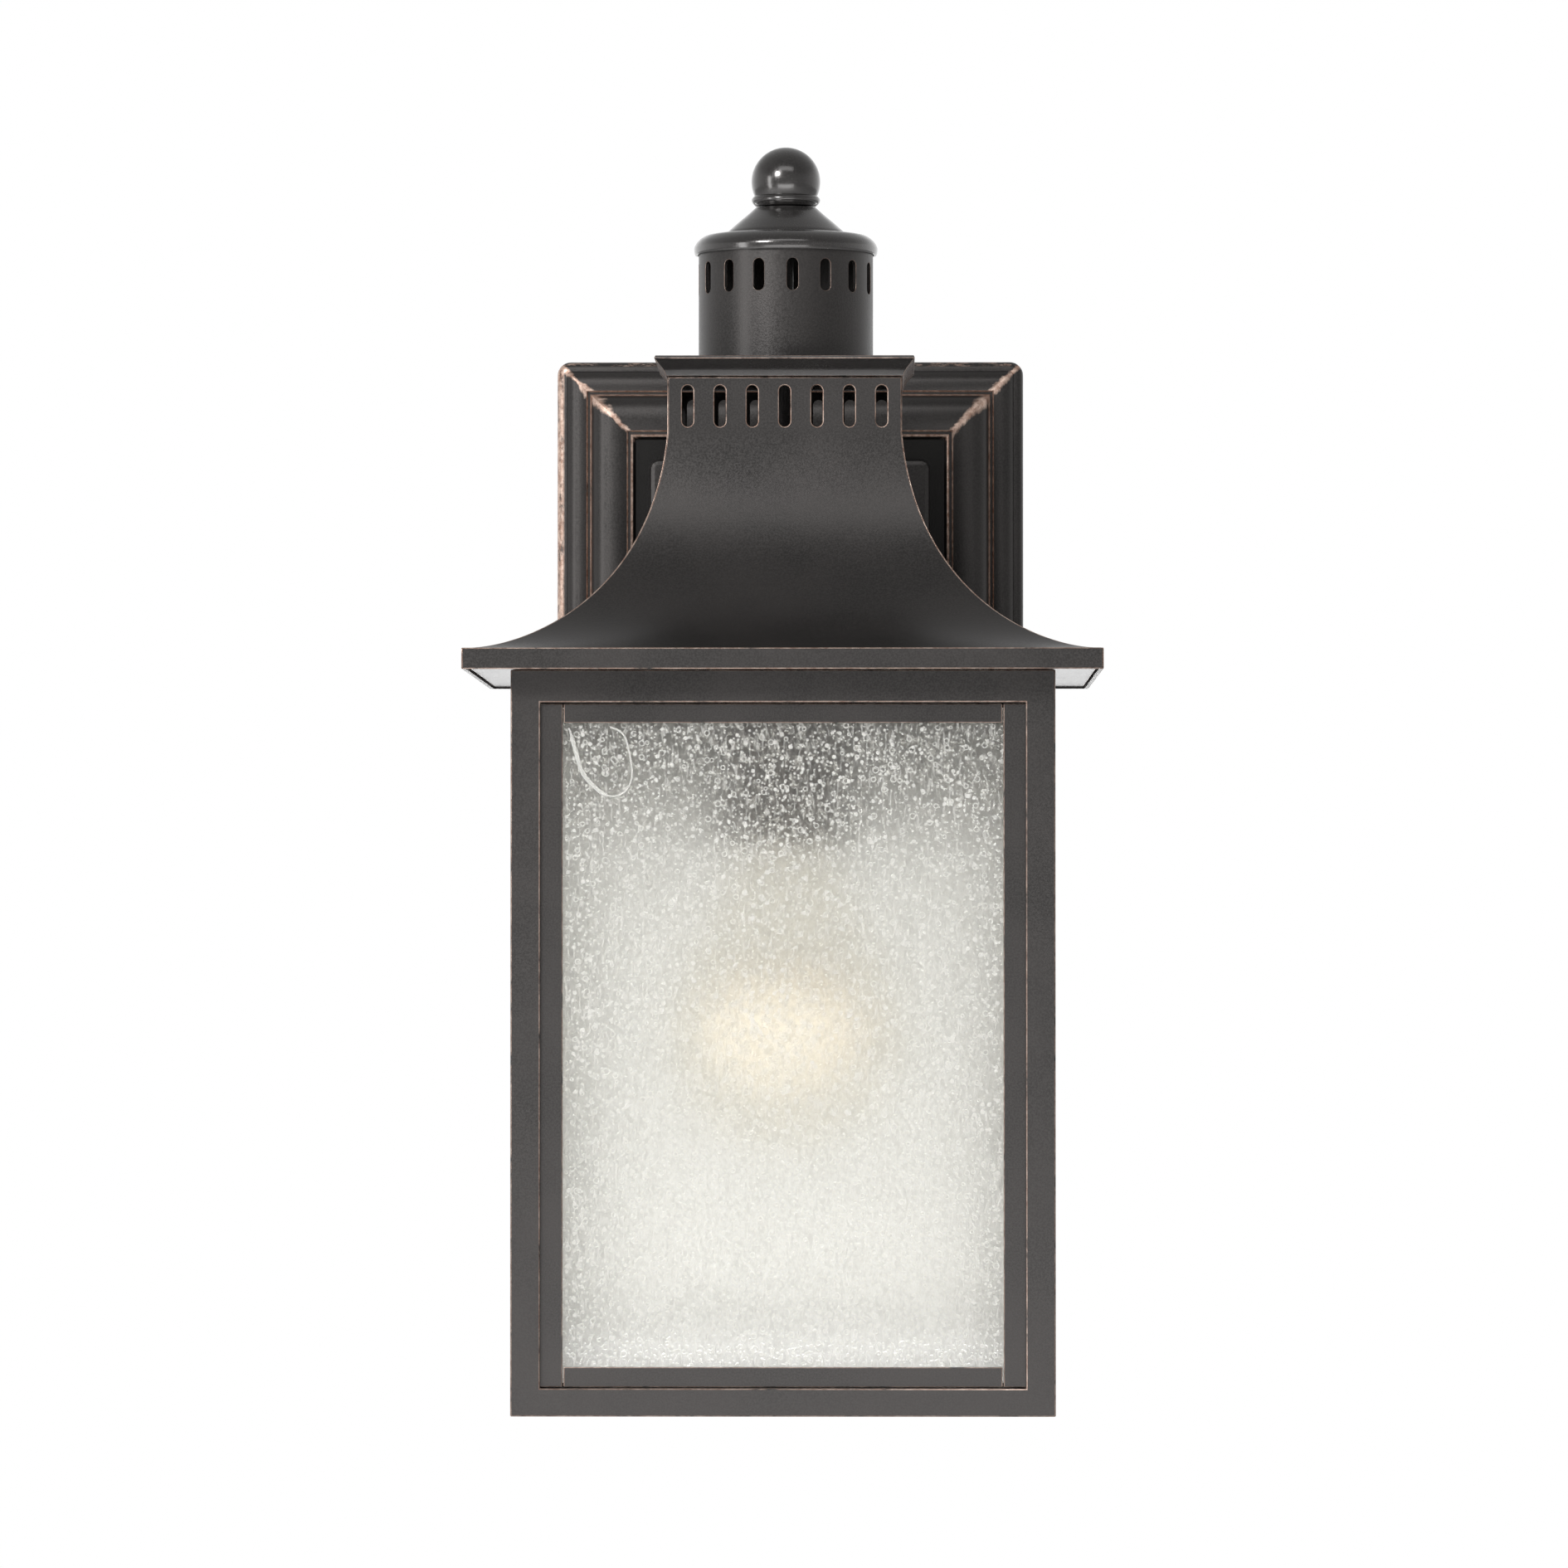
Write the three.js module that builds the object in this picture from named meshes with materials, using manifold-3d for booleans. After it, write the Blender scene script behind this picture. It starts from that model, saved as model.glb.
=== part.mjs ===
// Outdoor wall lantern: a square glazed cage under a flared roof with a slotted neck and chimney, carried by
// a hollow arm on a moulded wall plate. Millimetres, +Z up. The origin is on the wall, at the centre of the
// wall plate's back, and the lantern stands out towards -Y. The heights below are from a datum just above the
// eave: the whole lantern is lowered by PLATE_Z at the end, which puts the plate's centre at the origin.

import * as THREE from 'three';
import { mergeVertices } from 'three/addons/utils/BufferGeometryUtils.js';
import Module from 'manifold-3d';

const wasm = await Module();
wasm.setup();

// ---------------------------------------------------------------- driving dimensions

const GAP = 0.3; // clearance between neighbouring pieces
const SHEET = 1.2; // wall of the roof and of the cage's pressed pieces
const SPARE = 5; // how far a cutting tool runs past the piece that it cuts

const AXIS_Y = -116; // the lantern's upright axis stands this far in front of the wall

// roof, as half-widths from the axis and heights
const NECK_HALF = 29.9;
const NECK_TOP = 73.1;
const NECK_STRAIGHT_TO = 59; // the neck is straight above this height and flares below it
const ROOF_HALF = 80;
const EAVE_TOP = 2.4;
const EAVE_BOTTOM = -2.9;
const PAN_TOP = -1.2;
const PAN_BOTTOM = PAN_TOP - SHEET;

const NECK_SLOTS = 7;
const NECK_SLOT_PITCH = 8.24;
const NECK_SLOT_WIDTH = 2.9;
const NECK_SLOT_HEIGHT = 10.6;
const NECK_SLOT_Z = 65.8; // centre height

// neck cap, chimney and chimney cap
const NECK_CAP_TOP = 78.5;
const NECK_CAP_HALF = 33.2;
const NECK_CAP_HOLE_R = 19.1;
const CHIMNEY_R = 22.5;
const CHIMNEY_WALL = 1;
const CHIMNEY_BOTTOM = NECK_CAP_TOP + GAP;
const CHIMNEY_TOP = 108.2;
const CHIMNEY_SLOTS = 16;
const CHIMNEY_SLOT_TURN = THREE.MathUtils.degToRad(5); // the ring's turn from straight ahead
const CHIMNEY_SLOT_WIDTH = 3;
const CHIMNEY_SLOT_HEIGHT = 8.3;
const CHIMNEY_SLOT_Z = 100.1;
const CAP_RIM_R = 23.6;
const CAP_RIM_BOTTOM = 106.6;
const CAP_TOP = 118.8;

// finial and the rod that it screws on
const BALL_R = 8.9;
const BALL_Z = 125.6;
const COLLAR_R = 8.8;
const COLLAR_TOP = 121.9; // the ball begins here
const ROD_R = 2;
const ROD_BOTTOM = 48.5;
const ROD_TOP = 128;
const STRAP_Z = 54; // underside of the strap across the neck

// cage
const CAGE_HALF = 68.2;
const CAGE_BOTTOM = -189.5;
const POST_FACE = 7.4; // width of a corner post on each face
const TOP_FRAME_BOTTOM = -10.9;
const BOTTOM_FRAME_TOP = -182.5;
const FRAME_WALL = 1.5;
const STRIP_FACE = 5.6; // width of the inner strip beside a post
const TOP_BAR_BOTTOM = -16;
const BOTTOM_BAR_TOP = -177.2;
const GLASS_THICKNESS = 3;
const GLASS_HALF = 61.3;

// lamp holder and lamp
const NIPPLE_R = 5;
const NIPPLE_BORE_R = 3.2;
const HOLDER_R = 17.5;
const HOLDER_BOTTOM = -46;
const BULB_R = 30;
const BULB_Z = -95.8;
const BULB_BASE_R = 13.2;
const BULB_TIP_Z = -16.8;
const BULB_NECK_Z = -43;
const BULB_WALL = 1;
const BULB_BASE_WALL = 0.8;

// wall plate
const PLATE_HALF_X = 63;
const PLATE_HALF_Z = 63;
const PLATE_Z = 23.5; // height of the plate's centre
const PLATE_CORNER_R = 3.6;
const PLATE_RIM_WALL = 2;
const FIELD_FRONT = 13.6; // the flat middle of the plate, measured from the wall
const FIELD_BACK = 12.1;
const PANEL_HALF_X = 37.75;
const PANEL_HALF_Z = 35.9;
const PANEL_CORNER_R = 2.2;
const PANEL_THICKNESS = 4;
const PANEL_BACK = FIELD_FRONT + GAP;
const PANEL_FRONT = PANEL_BACK + PANEL_THICKNESS;

// crossbar and its fasteners
const BRACKET_HALF_X = 9;
const BRACKET_HALF_Z = 58;
const BRACKET_THICKNESS = 2;
const STUDS_Z = { upper: PLATE_Z + 26, lower: PLATE_Z - 26 };
const STUD_R = 2;
const BOX_SLOTS_Z = [PLATE_Z + 36.75, PLATE_Z - 36.75];
const BOX_SLOT_LENGTH = 13.5;
const BOX_SLOT_WIDTH = 4.4;
const EARTH_SCREW_Z = PLATE_Z - 17;

// arm
const ARM_HALF_X = 12;
const ARM_BASE_LOW = 8;
const ARM_BASE_HIGH = 36;
const ARM_END_LOW = 39.5;
const ARM_FOOT = 4;
const ARM_BORE_R = 4;
const ARM_WIRE_Z = 22; // height of the lead passage where it leaves the plate
const ARM_NIPPLE_Z = 51;
const ARM_NIPPLE_SOCKET = 13.5;
const ARM_SCREWS_Z = { upper: 31.5, lower: 12.5 };
const SCREW_R = 1.9;
const SCREW_HEAD_R = 3.6;

const LEAD_R = 1.1;
const LEAD_X = 1.35; // half the distance between the line and neutral leads
const CONNECTOR_X = 26;

// ---------------------------------------------------------------- finishes

function finish(color, roughness, metalness) {
  return new THREE.MeshStandardMaterial({ color, roughness, metalness });
}

const bronze = finish('#37332f', 0.42, 0.6);
const bronzeLight = finish('#4a4541', 0.42, 0.6);
const frosted = finish('#d6d9d2', 0.45, 0);
const opal = finish('#fdf3dc', 0.5, 0);
const brass = finish('#b5935a', 0.35, 0.9);
const zinc = finish('#a9abad', 0.4, 0.9);
const porcelain = finish('#ece9e1', 0.35, 0);
const blackInsulation = finish('#1a1a1a', 0.6, 0);
const whiteInsulation = finish('#e6e4dd', 0.6, 0);
const copper = finish('#b4714b', 0.4, 0.9);
const connectorPlastic = finish('#c8642c', 0.45, 0);

// ---------------------------------------------------------------- solids

function toSolid(geometry) {
  const bare = geometry.clone();
  bare.deleteAttribute('normal');
  bare.deleteAttribute('uv');
  const merged = mergeVertices(bare, 1e-4);
  const vertProperties = merged.attributes.position.array;
  const triVerts = new Uint32Array(merged.index.array);
  return new wasm.Manifold(new wasm.Mesh({ numProp: 3, vertProperties, triVerts }));
}

function toGeometry(solid) {
  const mesh = solid.getMesh();
  const geometry = new THREE.BufferGeometry();
  geometry.setAttribute('position', new THREE.BufferAttribute(new Float32Array(mesh.vertProperties), 3));
  geometry.setIndex(new THREE.BufferAttribute(new Uint32Array(mesh.triVerts), 1));
  return geometry;
}

function cut(geometry, ...cutters) {
  return toGeometry(cutters.reduce((solid, cutter) => solid.subtract(toSolid(cutter)), toSolid(geometry)));
}

function join(geometry, ...others) {
  return toGeometry(others.reduce((solid, other) => solid.add(toSolid(other)), toSolid(geometry)));
}

function common(geometry, other) {
  return toGeometry(toSolid(geometry).intersect(toSolid(other)));
}

// ---------------------------------------------------------------- shape helpers

const X = new THREE.Vector3(1, 0, 0);
const Y = new THREE.Vector3(0, 1, 0);
const Z = new THREE.Vector3(0, 0, 1);
const TAU = 2 * Math.PI;

function extrude(shape, depth, curveSegments = 4) {
  return new THREE.ExtrudeGeometry(shape, { depth, bevelEnabled: false, curveSegments });
}

// An outline in (y, z), thickened along X and centred on x = 0.
function extrudeAcross(points, width) {
  const geometry = extrude(new THREE.Shape(points), width);
  geometry.translate(0, 0, -width / 2);
  return geometry.applyMatrix4(new THREE.Matrix4().makeBasis(Y, Z, X));
}

// An outline in (x, z), thickened from back to front: from y = -back to y = -front.
function extrudeForward(shape, back, front, curveSegments) {
  const geometry = extrude(shape, front - back, curveSegments);
  geometry.translate(0, 0, back);
  return geometry.applyMatrix4(new THREE.Matrix4().makeBasis(X, Z, Y.clone().negate()));
}

function box(low, high) {
  const geometry = new THREE.BoxGeometry(high[0] - low[0], high[1] - low[1], high[2] - low[2]);
  return geometry.translate((low[0] + high[0]) / 2, (low[1] + high[1]) / 2, (low[2] + high[2]) / 2);
}

// An upright ring or solid turned from (radius, height) points. An outline clear of the axis is closed.
function turned(points, segments) {
  const outline = points.map(([radius, height]) => new THREE.Vector2(radius, height));
  if (THREE.ShapeUtils.area(outline) < 0) {
    outline.reverse(); // anticlockwise, so that the faces point outwards
  }
  if (!points.some(([radius]) => radius === 0)) {
    outline.push(outline[0].clone());
  } else {
    while (outline[0].x !== 0 || outline[outline.length - 1].x !== 0) {
      outline.push(outline.shift()); // begin and end on the axis
    }
  }
  return new THREE.LatheGeometry(outline, segments).rotateX(Math.PI / 2);
}

// The same, turned about a line that runs forward from the wall: the heights become distances from the wall.
function turnedForward(points, segments, x, z) {
  return turned(points, segments).rotateX(Math.PI / 2).translate(x, 0, z);
}

function rodBetween(start, end, radius, segments = 16) {
  const along = end.clone().sub(start);
  const geometry = new THREE.CylinderGeometry(radius, radius, along.length(), segments);
  geometry.applyQuaternion(new THREE.Quaternion().setFromUnitVectors(Y, along.clone().normalize()));
  return geometry.translate(...start.clone().add(end).divideScalar(2).toArray());
}

function rodForward(radius, back, front, x, z, segments) {
  return rodBetween(new THREE.Vector3(x, -back, z), new THREE.Vector3(x, -front, z), radius, segments);
}

function rodUp(radius, bottom, top, segments) {
  return rodBetween(new THREE.Vector3(0, 0, bottom), new THREE.Vector3(0, 0, top), radius, segments);
}

// A slot outline with round ends, upright, centred on (x, y).
function slotShape(width, height, x, y) {
  const radius = width / 2;
  const reach = height / 2 - radius;
  const shape = new THREE.Shape();
  shape.absarc(x, y + reach, radius, 0, Math.PI);
  shape.absarc(x, y - reach, radius, Math.PI, TAU);
  return shape;
}

function hexagonShape(cornerRadius, boreRadius) {
  const corners = [];
  for (let i = 0; i < 6; i += 1) {
    const angle = (i * TAU) / 6;
    corners.push(new THREE.Vector2(Math.cos(angle), Math.sin(angle)).multiplyScalar(cornerRadius));
  }
  const shape = new THREE.Shape(corners);
  shape.holes.push(new THREE.Path().absarc(0, 0, boreRadius, 0, TAU, true));
  return shape;
}

// The points of a rectangle with round corners, in order round it, each placed in space by place().
function roundedRing(halfA, halfB, radius, place) {
  const steps = 2;
  const ring = [];
  for (const [signA, signB, from] of [[1, 1, 0], [-1, 1, 1], [-1, -1, 2], [1, -1, 3]]) {
    for (let i = 0; i <= steps; i += 1) {
      const angle = ((from + i / steps) * Math.PI) / 2;
      const a = signA * (halfA - radius) + radius * Math.cos(angle);
      const b = signB * (halfB - radius) + radius * Math.sin(angle);
      ring.push(place(a, b));
    }
  }
  return ring;
}

function squareRing(half, z) {
  return [[1, 1], [-1, 1], [-1, -1], [1, -1]].map(([a, b]) => new THREE.Vector3(a * half, b * half, z));
}

// Skins rings of equally many points. A loop of rings closes on itself. Otherwise both ends are capped.
function skin(rings, isLoop) {
  const count = rings[0].length;
  const triangles = [];
  const last = isLoop ? rings.length : rings.length - 1;
  for (let r = 0; r < last; r += 1) {
    const near = rings[r];
    const far = rings[(r + 1) % rings.length];
    for (let i = 0; i < count; i += 1) {
      const j = (i + 1) % count;
      triangles.push(near[i], near[j], far[j], near[i], far[j], far[i]);
    }
  }
  if (!isLoop) {
    const end = rings[rings.length - 1];
    for (let i = 1; i < count - 1; i += 1) {
      triangles.push(rings[0][0], rings[0][i + 1], rings[0][i], end[0], end[i], end[i + 1]);
    }
  }
  let volume = 0;
  for (let t = 0; t < triangles.length; t += 3) {
    volume += triangles[t].dot(triangles[t + 1].clone().cross(triangles[t + 2]));
  }
  if (volume < 0) {
    triangles.reverse();
  }
  return mergeVertices(new THREE.BufferGeometry().setFromPoints(triangles), 1e-4);
}

// ---------------------------------------------------------------- assembly

const lantern = new THREE.Group();
const head = new THREE.Group(); // everything that is centred on the lantern's upright axis
head.position.y = AXIS_Y;
lantern.add(head);

function addPiece(parent, name, geometry, material) {
  const mesh = new THREE.Mesh(geometry, material);
  mesh.name = name;
  parent.add(mesh);
  return mesh;
}

// Four copies round the axis. The geometry is the front one's, facing -Y; the rear one can have its own.
function addOnFourSides(name, geometry, material, rearGeometry = geometry) {
  ['front', 'right', 'rear', 'left'].forEach((side, turn) => {
    const sideGeometry = side === 'rear' ? rearGeometry : geometry;
    addPiece(head, `${name}_${side}`, sideGeometry, material).rotation.z = (turn * Math.PI) / 2;
  });
}

// ---------------------------------------------------------------- roof

// Half-width against height from the bottom of the straight neck to the eave.
const roofCurve = new THREE.CubicBezierCurve(
  new THREE.Vector2(NECK_HALF, NECK_STRAIGHT_TO),
  new THREE.Vector2(33.8, 15.9),
  new THREE.Vector2(66.2, 2.2),
  new THREE.Vector2(ROOF_HALF, EAVE_TOP),
);

function roofPanel() {
  const steps = 18;
  const outer = [new THREE.Vector2(NECK_HALF, NECK_TOP), ...roofCurve.getPoints(steps)];
  const inner = [];
  for (let i = 0; i < steps; i += 1) {
    const tangent = roofCurve.getTangent(i / steps);
    const inward = new THREE.Vector2(tangent.y, -tangent.x);
    inner.push(roofCurve.getPoint(i / steps).add(inward.multiplyScalar(SHEET)));
  }
  const innerEave = ROOF_HALF - SHEET;
  const outline = [
    ...outer,
    new THREE.Vector2(ROOF_HALF, EAVE_BOTTOM),
    new THREE.Vector2(innerEave, EAVE_BOTTOM),
    new THREE.Vector2(innerEave, EAVE_TOP - SHEET),
    ...inner.reverse(),
    new THREE.Vector2(NECK_HALF - SHEET, NECK_TOP),
  ].map((point) => new THREE.Vector2(-point.x, point.y));
  const sheet = extrudeAcross(outline, 2 * ROOF_HALF);
  const mitre = 0.22; // set back from the hip line, so that neighbouring panels stay GAP apart
  const reach = ROOF_HALF + SPARE;
  const wedge = extrude(new THREE.Shape([
    new THREE.Vector2(0, -mitre),
    new THREE.Vector2(-reach, -mitre - reach),
    new THREE.Vector2(reach, -mitre - reach),
  ]), NECK_TOP - EAVE_BOTTOM + 2 * SPARE).translate(0, 0, EAVE_BOTTOM - SPARE);
  const slots = [];
  for (let i = 0; i < NECK_SLOTS; i += 1) {
    const x = (i - (NECK_SLOTS - 1) / 2) * NECK_SLOT_PITCH;
    const shape = slotShape(NECK_SLOT_WIDTH, NECK_SLOT_HEIGHT, x, NECK_SLOT_Z);
    slots.push(extrudeForward(shape, NECK_HALF - SPARE, NECK_HALF + SPARE, 3));
  }
  return cut(common(sheet, wedge), ...slots);
}

const plainRoofPanel = roofPanel();
const nippleHole = rodForward(NIPPLE_R + GAP, NECK_HALF - SPARE, NECK_HALF + SPARE, 0, ARM_NIPPLE_Z);
addOnFourSides('roof_panel', plainRoofPanel, bronze, cut(plainRoofPanel, nippleHole));

function roofPan() {
  const half = ROOF_HALF - SHEET - GAP;
  const plate = box([-half, -half, PAN_BOTTOM], [half, half, PAN_TOP]);
  const ventCircle = 32;
  const ventRadius = 5;
  const through = [PAN_BOTTOM - SPARE, PAN_TOP + SPARE];
  const vents = [45, 135, 225, 315].map((degrees) => {
    const angle = THREE.MathUtils.degToRad(degrees);
    const vent = rodUp(ventRadius, ...through);
    return vent.translate(ventCircle * Math.cos(angle), ventCircle * Math.sin(angle), 0);
  });
  return cut(plate, rodUp(NIPPLE_R + GAP, ...through), ...vents);
}
addPiece(head, 'roof_pan', roofPan(), bronzeLight);

// ---------------------------------------------------------------- neck cap, chimney, chimney cap, finial

function neckCap() {
  const bottom = NECK_TOP + GAP;
  const flare = skin([
    squareRing(NECK_HALF + 0.4, bottom),
    squareRing(NECK_HALF + 1.3, bottom + 2),
    squareRing(NECK_CAP_HALF - 0.5, NECK_CAP_TOP - 1.2),
    squareRing(NECK_CAP_HALF, NECK_CAP_TOP - 0.7),
    squareRing(NECK_CAP_HALF - 0.3, NECK_CAP_TOP),
  ], false);
  return cut(flare, rodUp(NECK_CAP_HOLE_R, bottom - SPARE, NECK_CAP_TOP + SPARE, 32));
}
addPiece(head, 'neck_cap', neckCap(), bronze);

function chimney() {
  const tube = turned([
    [CHIMNEY_R, CHIMNEY_BOTTOM],
    [CHIMNEY_R, CHIMNEY_TOP],
    [CHIMNEY_R - CHIMNEY_WALL, CHIMNEY_TOP],
    [CHIMNEY_R - CHIMNEY_WALL, CHIMNEY_BOTTOM],
  ], 32);
  const shape = slotShape(CHIMNEY_SLOT_WIDTH, CHIMNEY_SLOT_HEIGHT, 0, CHIMNEY_SLOT_Z);
  const slots = [];
  for (let i = 0; i < CHIMNEY_SLOTS; i += 1) {
    const slot = extrudeForward(shape, CHIMNEY_R - SPARE, CHIMNEY_R + SPARE, 3);
    slots.push(slot.rotateZ(CHIMNEY_SLOT_TURN + (i * TAU) / CHIMNEY_SLOTS));
  }
  return cut(tube, ...slots);
}
addPiece(head, 'chimney', chimney(), bronze);

function chimneyCap() {
  const hole = ROD_R + 0.6;
  return turned([
    [hole, CAP_TOP],
    [7.9, CAP_TOP],
    [9.9, 117],
    [12.3, 115],
    [15, 112.6],
    [20.6, 111.5],
    [22.6, 110.2],
    [CAP_RIM_R, 108.6],
    [CAP_RIM_R - 0.2, CAP_RIM_BOTTOM],
    [CHIMNEY_R + GAP, CAP_RIM_BOTTOM],
    [CHIMNEY_R + GAP, CHIMNEY_TOP + GAP],
    [20.4, 109.9],
    [14.4, 111],
    [11.4, 113.8],
    [7.2, CAP_TOP - 1.4],
    [hole, CAP_TOP - 1.4],
  ], 28);
}
addPiece(head, 'chimney_cap', chimneyCap(), bronze);

function finial() {
  const bottom = CAP_TOP + GAP;
  const outline = [[7.7, bottom], [COLLAR_R, bottom + 1.4], [COLLAR_R, bottom + 2], [8.1, COLLAR_TOP]];
  const ballFrom = -Math.asin((BALL_Z - COLLAR_TOP) / BALL_R);
  const steps = 9;
  for (let i = 1; i < steps; i += 1) {
    const angle = THREE.MathUtils.lerp(ballFrom, Math.PI / 2, i / steps);
    outline.push([BALL_R * Math.cos(angle), BALL_Z + BALL_R * Math.sin(angle)]);
  }
  const boreTop = ROD_TOP + 0.5;
  const body = turned([[0, bottom], ...outline, [0, BALL_Z + BALL_R]], 22);
  return cut(body, rodUp(ROD_R + GAP, bottom - SPARE, boreTop, 12));
}
addPiece(head, 'finial', finial(), bronze);

addPiece(head, 'finial_rod', rodUp(ROD_R, ROD_BOTTOM, ROD_TOP, 12), bronze);

function neckStrap() {
  const half = NECK_HALF - SHEET - GAP;
  const thickness = 1.5;
  const tab = 9;
  const width = 12;
  const shape = new THREE.Shape([
    new THREE.Vector2(-half, STRAP_Z - tab),
    new THREE.Vector2(-half + thickness, STRAP_Z - tab),
    new THREE.Vector2(-half + thickness, STRAP_Z),
    new THREE.Vector2(half - thickness, STRAP_Z),
    new THREE.Vector2(half - thickness, STRAP_Z - tab),
    new THREE.Vector2(half, STRAP_Z - tab),
    new THREE.Vector2(half, STRAP_Z + thickness),
    new THREE.Vector2(-half, STRAP_Z + thickness),
  ]);
  const strap = extrudeForward(shape, -width / 2, width / 2);
  return cut(strap, rodUp(ROD_R + GAP, STRAP_Z - SPARE, STRAP_Z + SPARE, 12));
}
addPiece(head, 'neck_strap', neckStrap(), zinc);

function hexNut(cornerRadius, boreRadius, height) {
  return extrude(hexagonShape(cornerRadius, boreRadius), height, 8);
}
const rodNutHeight = 3;
const rodNut = hexNut(4.2, ROD_R + GAP, rodNutHeight).translate(0, 0, STRAP_Z - GAP - rodNutHeight);
addPiece(head, 'rod_nut', rodNut, zinc);

// ---------------------------------------------------------------- cage

// A square ring whose wall has the outline given as (half-width, height) points.
function squareFrame(points) {
  return skin(points.map(([half, z]) => squareRing(half, z)), true);
}

const topFrameTop = PAN_BOTTOM - GAP;
const topFlange = 60;
addPiece(head, 'cage_top_frame', squareFrame([
  [CAGE_HALF, topFrameTop],
  [CAGE_HALF, TOP_FRAME_BOTTOM],
  [CAGE_HALF - FRAME_WALL, TOP_FRAME_BOTTOM],
  [CAGE_HALF - FRAME_WALL, topFrameTop - SHEET],
  [topFlange, topFrameTop - SHEET],
  [topFlange, topFrameTop],
]), bronzeLight);

const bottomFlange = 57;
addPiece(head, 'cage_bottom_frame', squareFrame([
  [CAGE_HALF, BOTTOM_FRAME_TOP],
  [CAGE_HALF, CAGE_BOTTOM],
  [bottomFlange, CAGE_BOTTOM],
  [bottomFlange, CAGE_BOTTOM + SHEET],
  [CAGE_HALF - FRAME_WALL, CAGE_BOTTOM + SHEET],
  [CAGE_HALF - FRAME_WALL, BOTTOM_FRAME_TOP],
]), bronzeLight);

const postTop = TOP_FRAME_BOTTOM - GAP;
const postBottom = BOTTOM_FRAME_TOP + GAP;
const stripFront = CAGE_HALF - SHEET - GAP; // outer face of the glazing strips
const stripBack = stripFront - SHEET;
const stripEdge = CAGE_HALF - POST_FACE - STRIP_FACE; // where the visible glass begins

// An upright angle with its outer corner at the cage's front-right corner.
function angleBar(outer, inner, edge) {
  const shape = new THREE.Shape([
    new THREE.Vector2(outer, -outer),
    new THREE.Vector2(outer, -edge),
    new THREE.Vector2(inner, -edge),
    new THREE.Vector2(inner, -inner),
    new THREE.Vector2(edge, -inner),
    new THREE.Vector2(edge, -outer),
  ]);
  return extrude(shape, postTop - postBottom).translate(0, 0, postBottom);
}

const postAngle = angleBar(CAGE_HALF, CAGE_HALF - SHEET, CAGE_HALF - POST_FACE);
const channelAngle = angleBar(stripFront, stripBack, stripEdge);
['front_right', 'rear_right', 'rear_left', 'front_left'].forEach((corner, turn) => {
  for (const [name, geometry] of [['corner_post', postAngle], ['glazing_channel', channelAngle]]) {
    addPiece(head, `${name}_${corner}`, geometry, bronzeLight).rotation.z = (turn * Math.PI) / 2;
  }
});

const barHalf = stripEdge - GAP;
const topBar = box([-barHalf, -stripFront, TOP_BAR_BOTTOM], [barHalf, -stripBack, postTop]);
const bottomBar = box([-barHalf, -stripFront, postBottom], [barHalf, -stripBack, BOTTOM_BAR_TOP]);
addOnFourSides('glazing_bar_top', topBar, bronzeLight);
addOnFourSides('glazing_bar_bottom', bottomBar, bronzeLight);

const glassFront = stripBack - GAP;
const glass = box(
  [-GLASS_HALF, -glassFront, postBottom + 1],
  [GLASS_HALF, -glassFront + GLASS_THICKNESS, postTop - 1],
);
addOnFourSides('glass', glass, frosted);

// ---------------------------------------------------------------- lamp holder

const holderTop = PAN_BOTTOM - GAP;
const nippleBottom = -9;
addPiece(head, 'holder_body', turned([
  [NIPPLE_R + GAP, holderTop],
  [HOLDER_R - 1, holderTop],
  [HOLDER_R, holderTop - 1],
  [HOLDER_R, HOLDER_BOTTOM],
  [14.6, HOLDER_BOTTOM],
  [14.6, -12],
  [3, -12],
  [3, nippleBottom - 0.6],
  [NIPPLE_R + GAP, nippleBottom - 0.6],
], 24), porcelain);

addPiece(head, 'screw_shell', turned([[14.3, -44], [14.3, -15], [13.7, -15], [13.7, -44]], 24), brass);
addPiece(head, 'centre_contact', turned([[0, -16.5], [2.6, -16.5], [2.6, -10], [0, -10]], 12), brass);

function hollowRod(radius, bore, bottom, top) {
  return turned([[bore, bottom], [radius, bottom], [radius, top], [bore, top]], 16);
}
addPiece(head, 'holder_nipple', hollowRod(NIPPLE_R, NIPPLE_BORE_R, nippleBottom, 6), zinc);
addPiece(head, 'holder_locknut', hexNut(8.5, NIPPLE_R + GAP, 3.5).translate(0, 0, PAN_TOP + GAP), zinc);

// ---------------------------------------------------------------- lamp

const baseTop = BULB_TIP_Z - 3;
addPiece(head, 'bulb_base', turned([
  [0, baseTop],
  [6.4, baseTop],
  [BULB_BASE_R - 1, baseTop - 3],
  [BULB_BASE_R, baseTop - 4.5],
  [BULB_BASE_R, BULB_NECK_Z],
  [BULB_BASE_R - BULB_BASE_WALL, BULB_NECK_Z],
  [BULB_BASE_R - BULB_BASE_WALL, baseTop - 5],
  [6.2, baseTop - BULB_BASE_WALL - 0.4],
  [0, baseTop - BULB_BASE_WALL - 0.4],
], 24), brass);
addPiece(head, 'bulb_tip', turned([
  [0, BULB_TIP_Z],
  [2.4, BULB_TIP_Z],
  [4.2, BULB_TIP_Z - 2.7],
  [0, BULB_TIP_Z - 2.7],
], 12), zinc);

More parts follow.
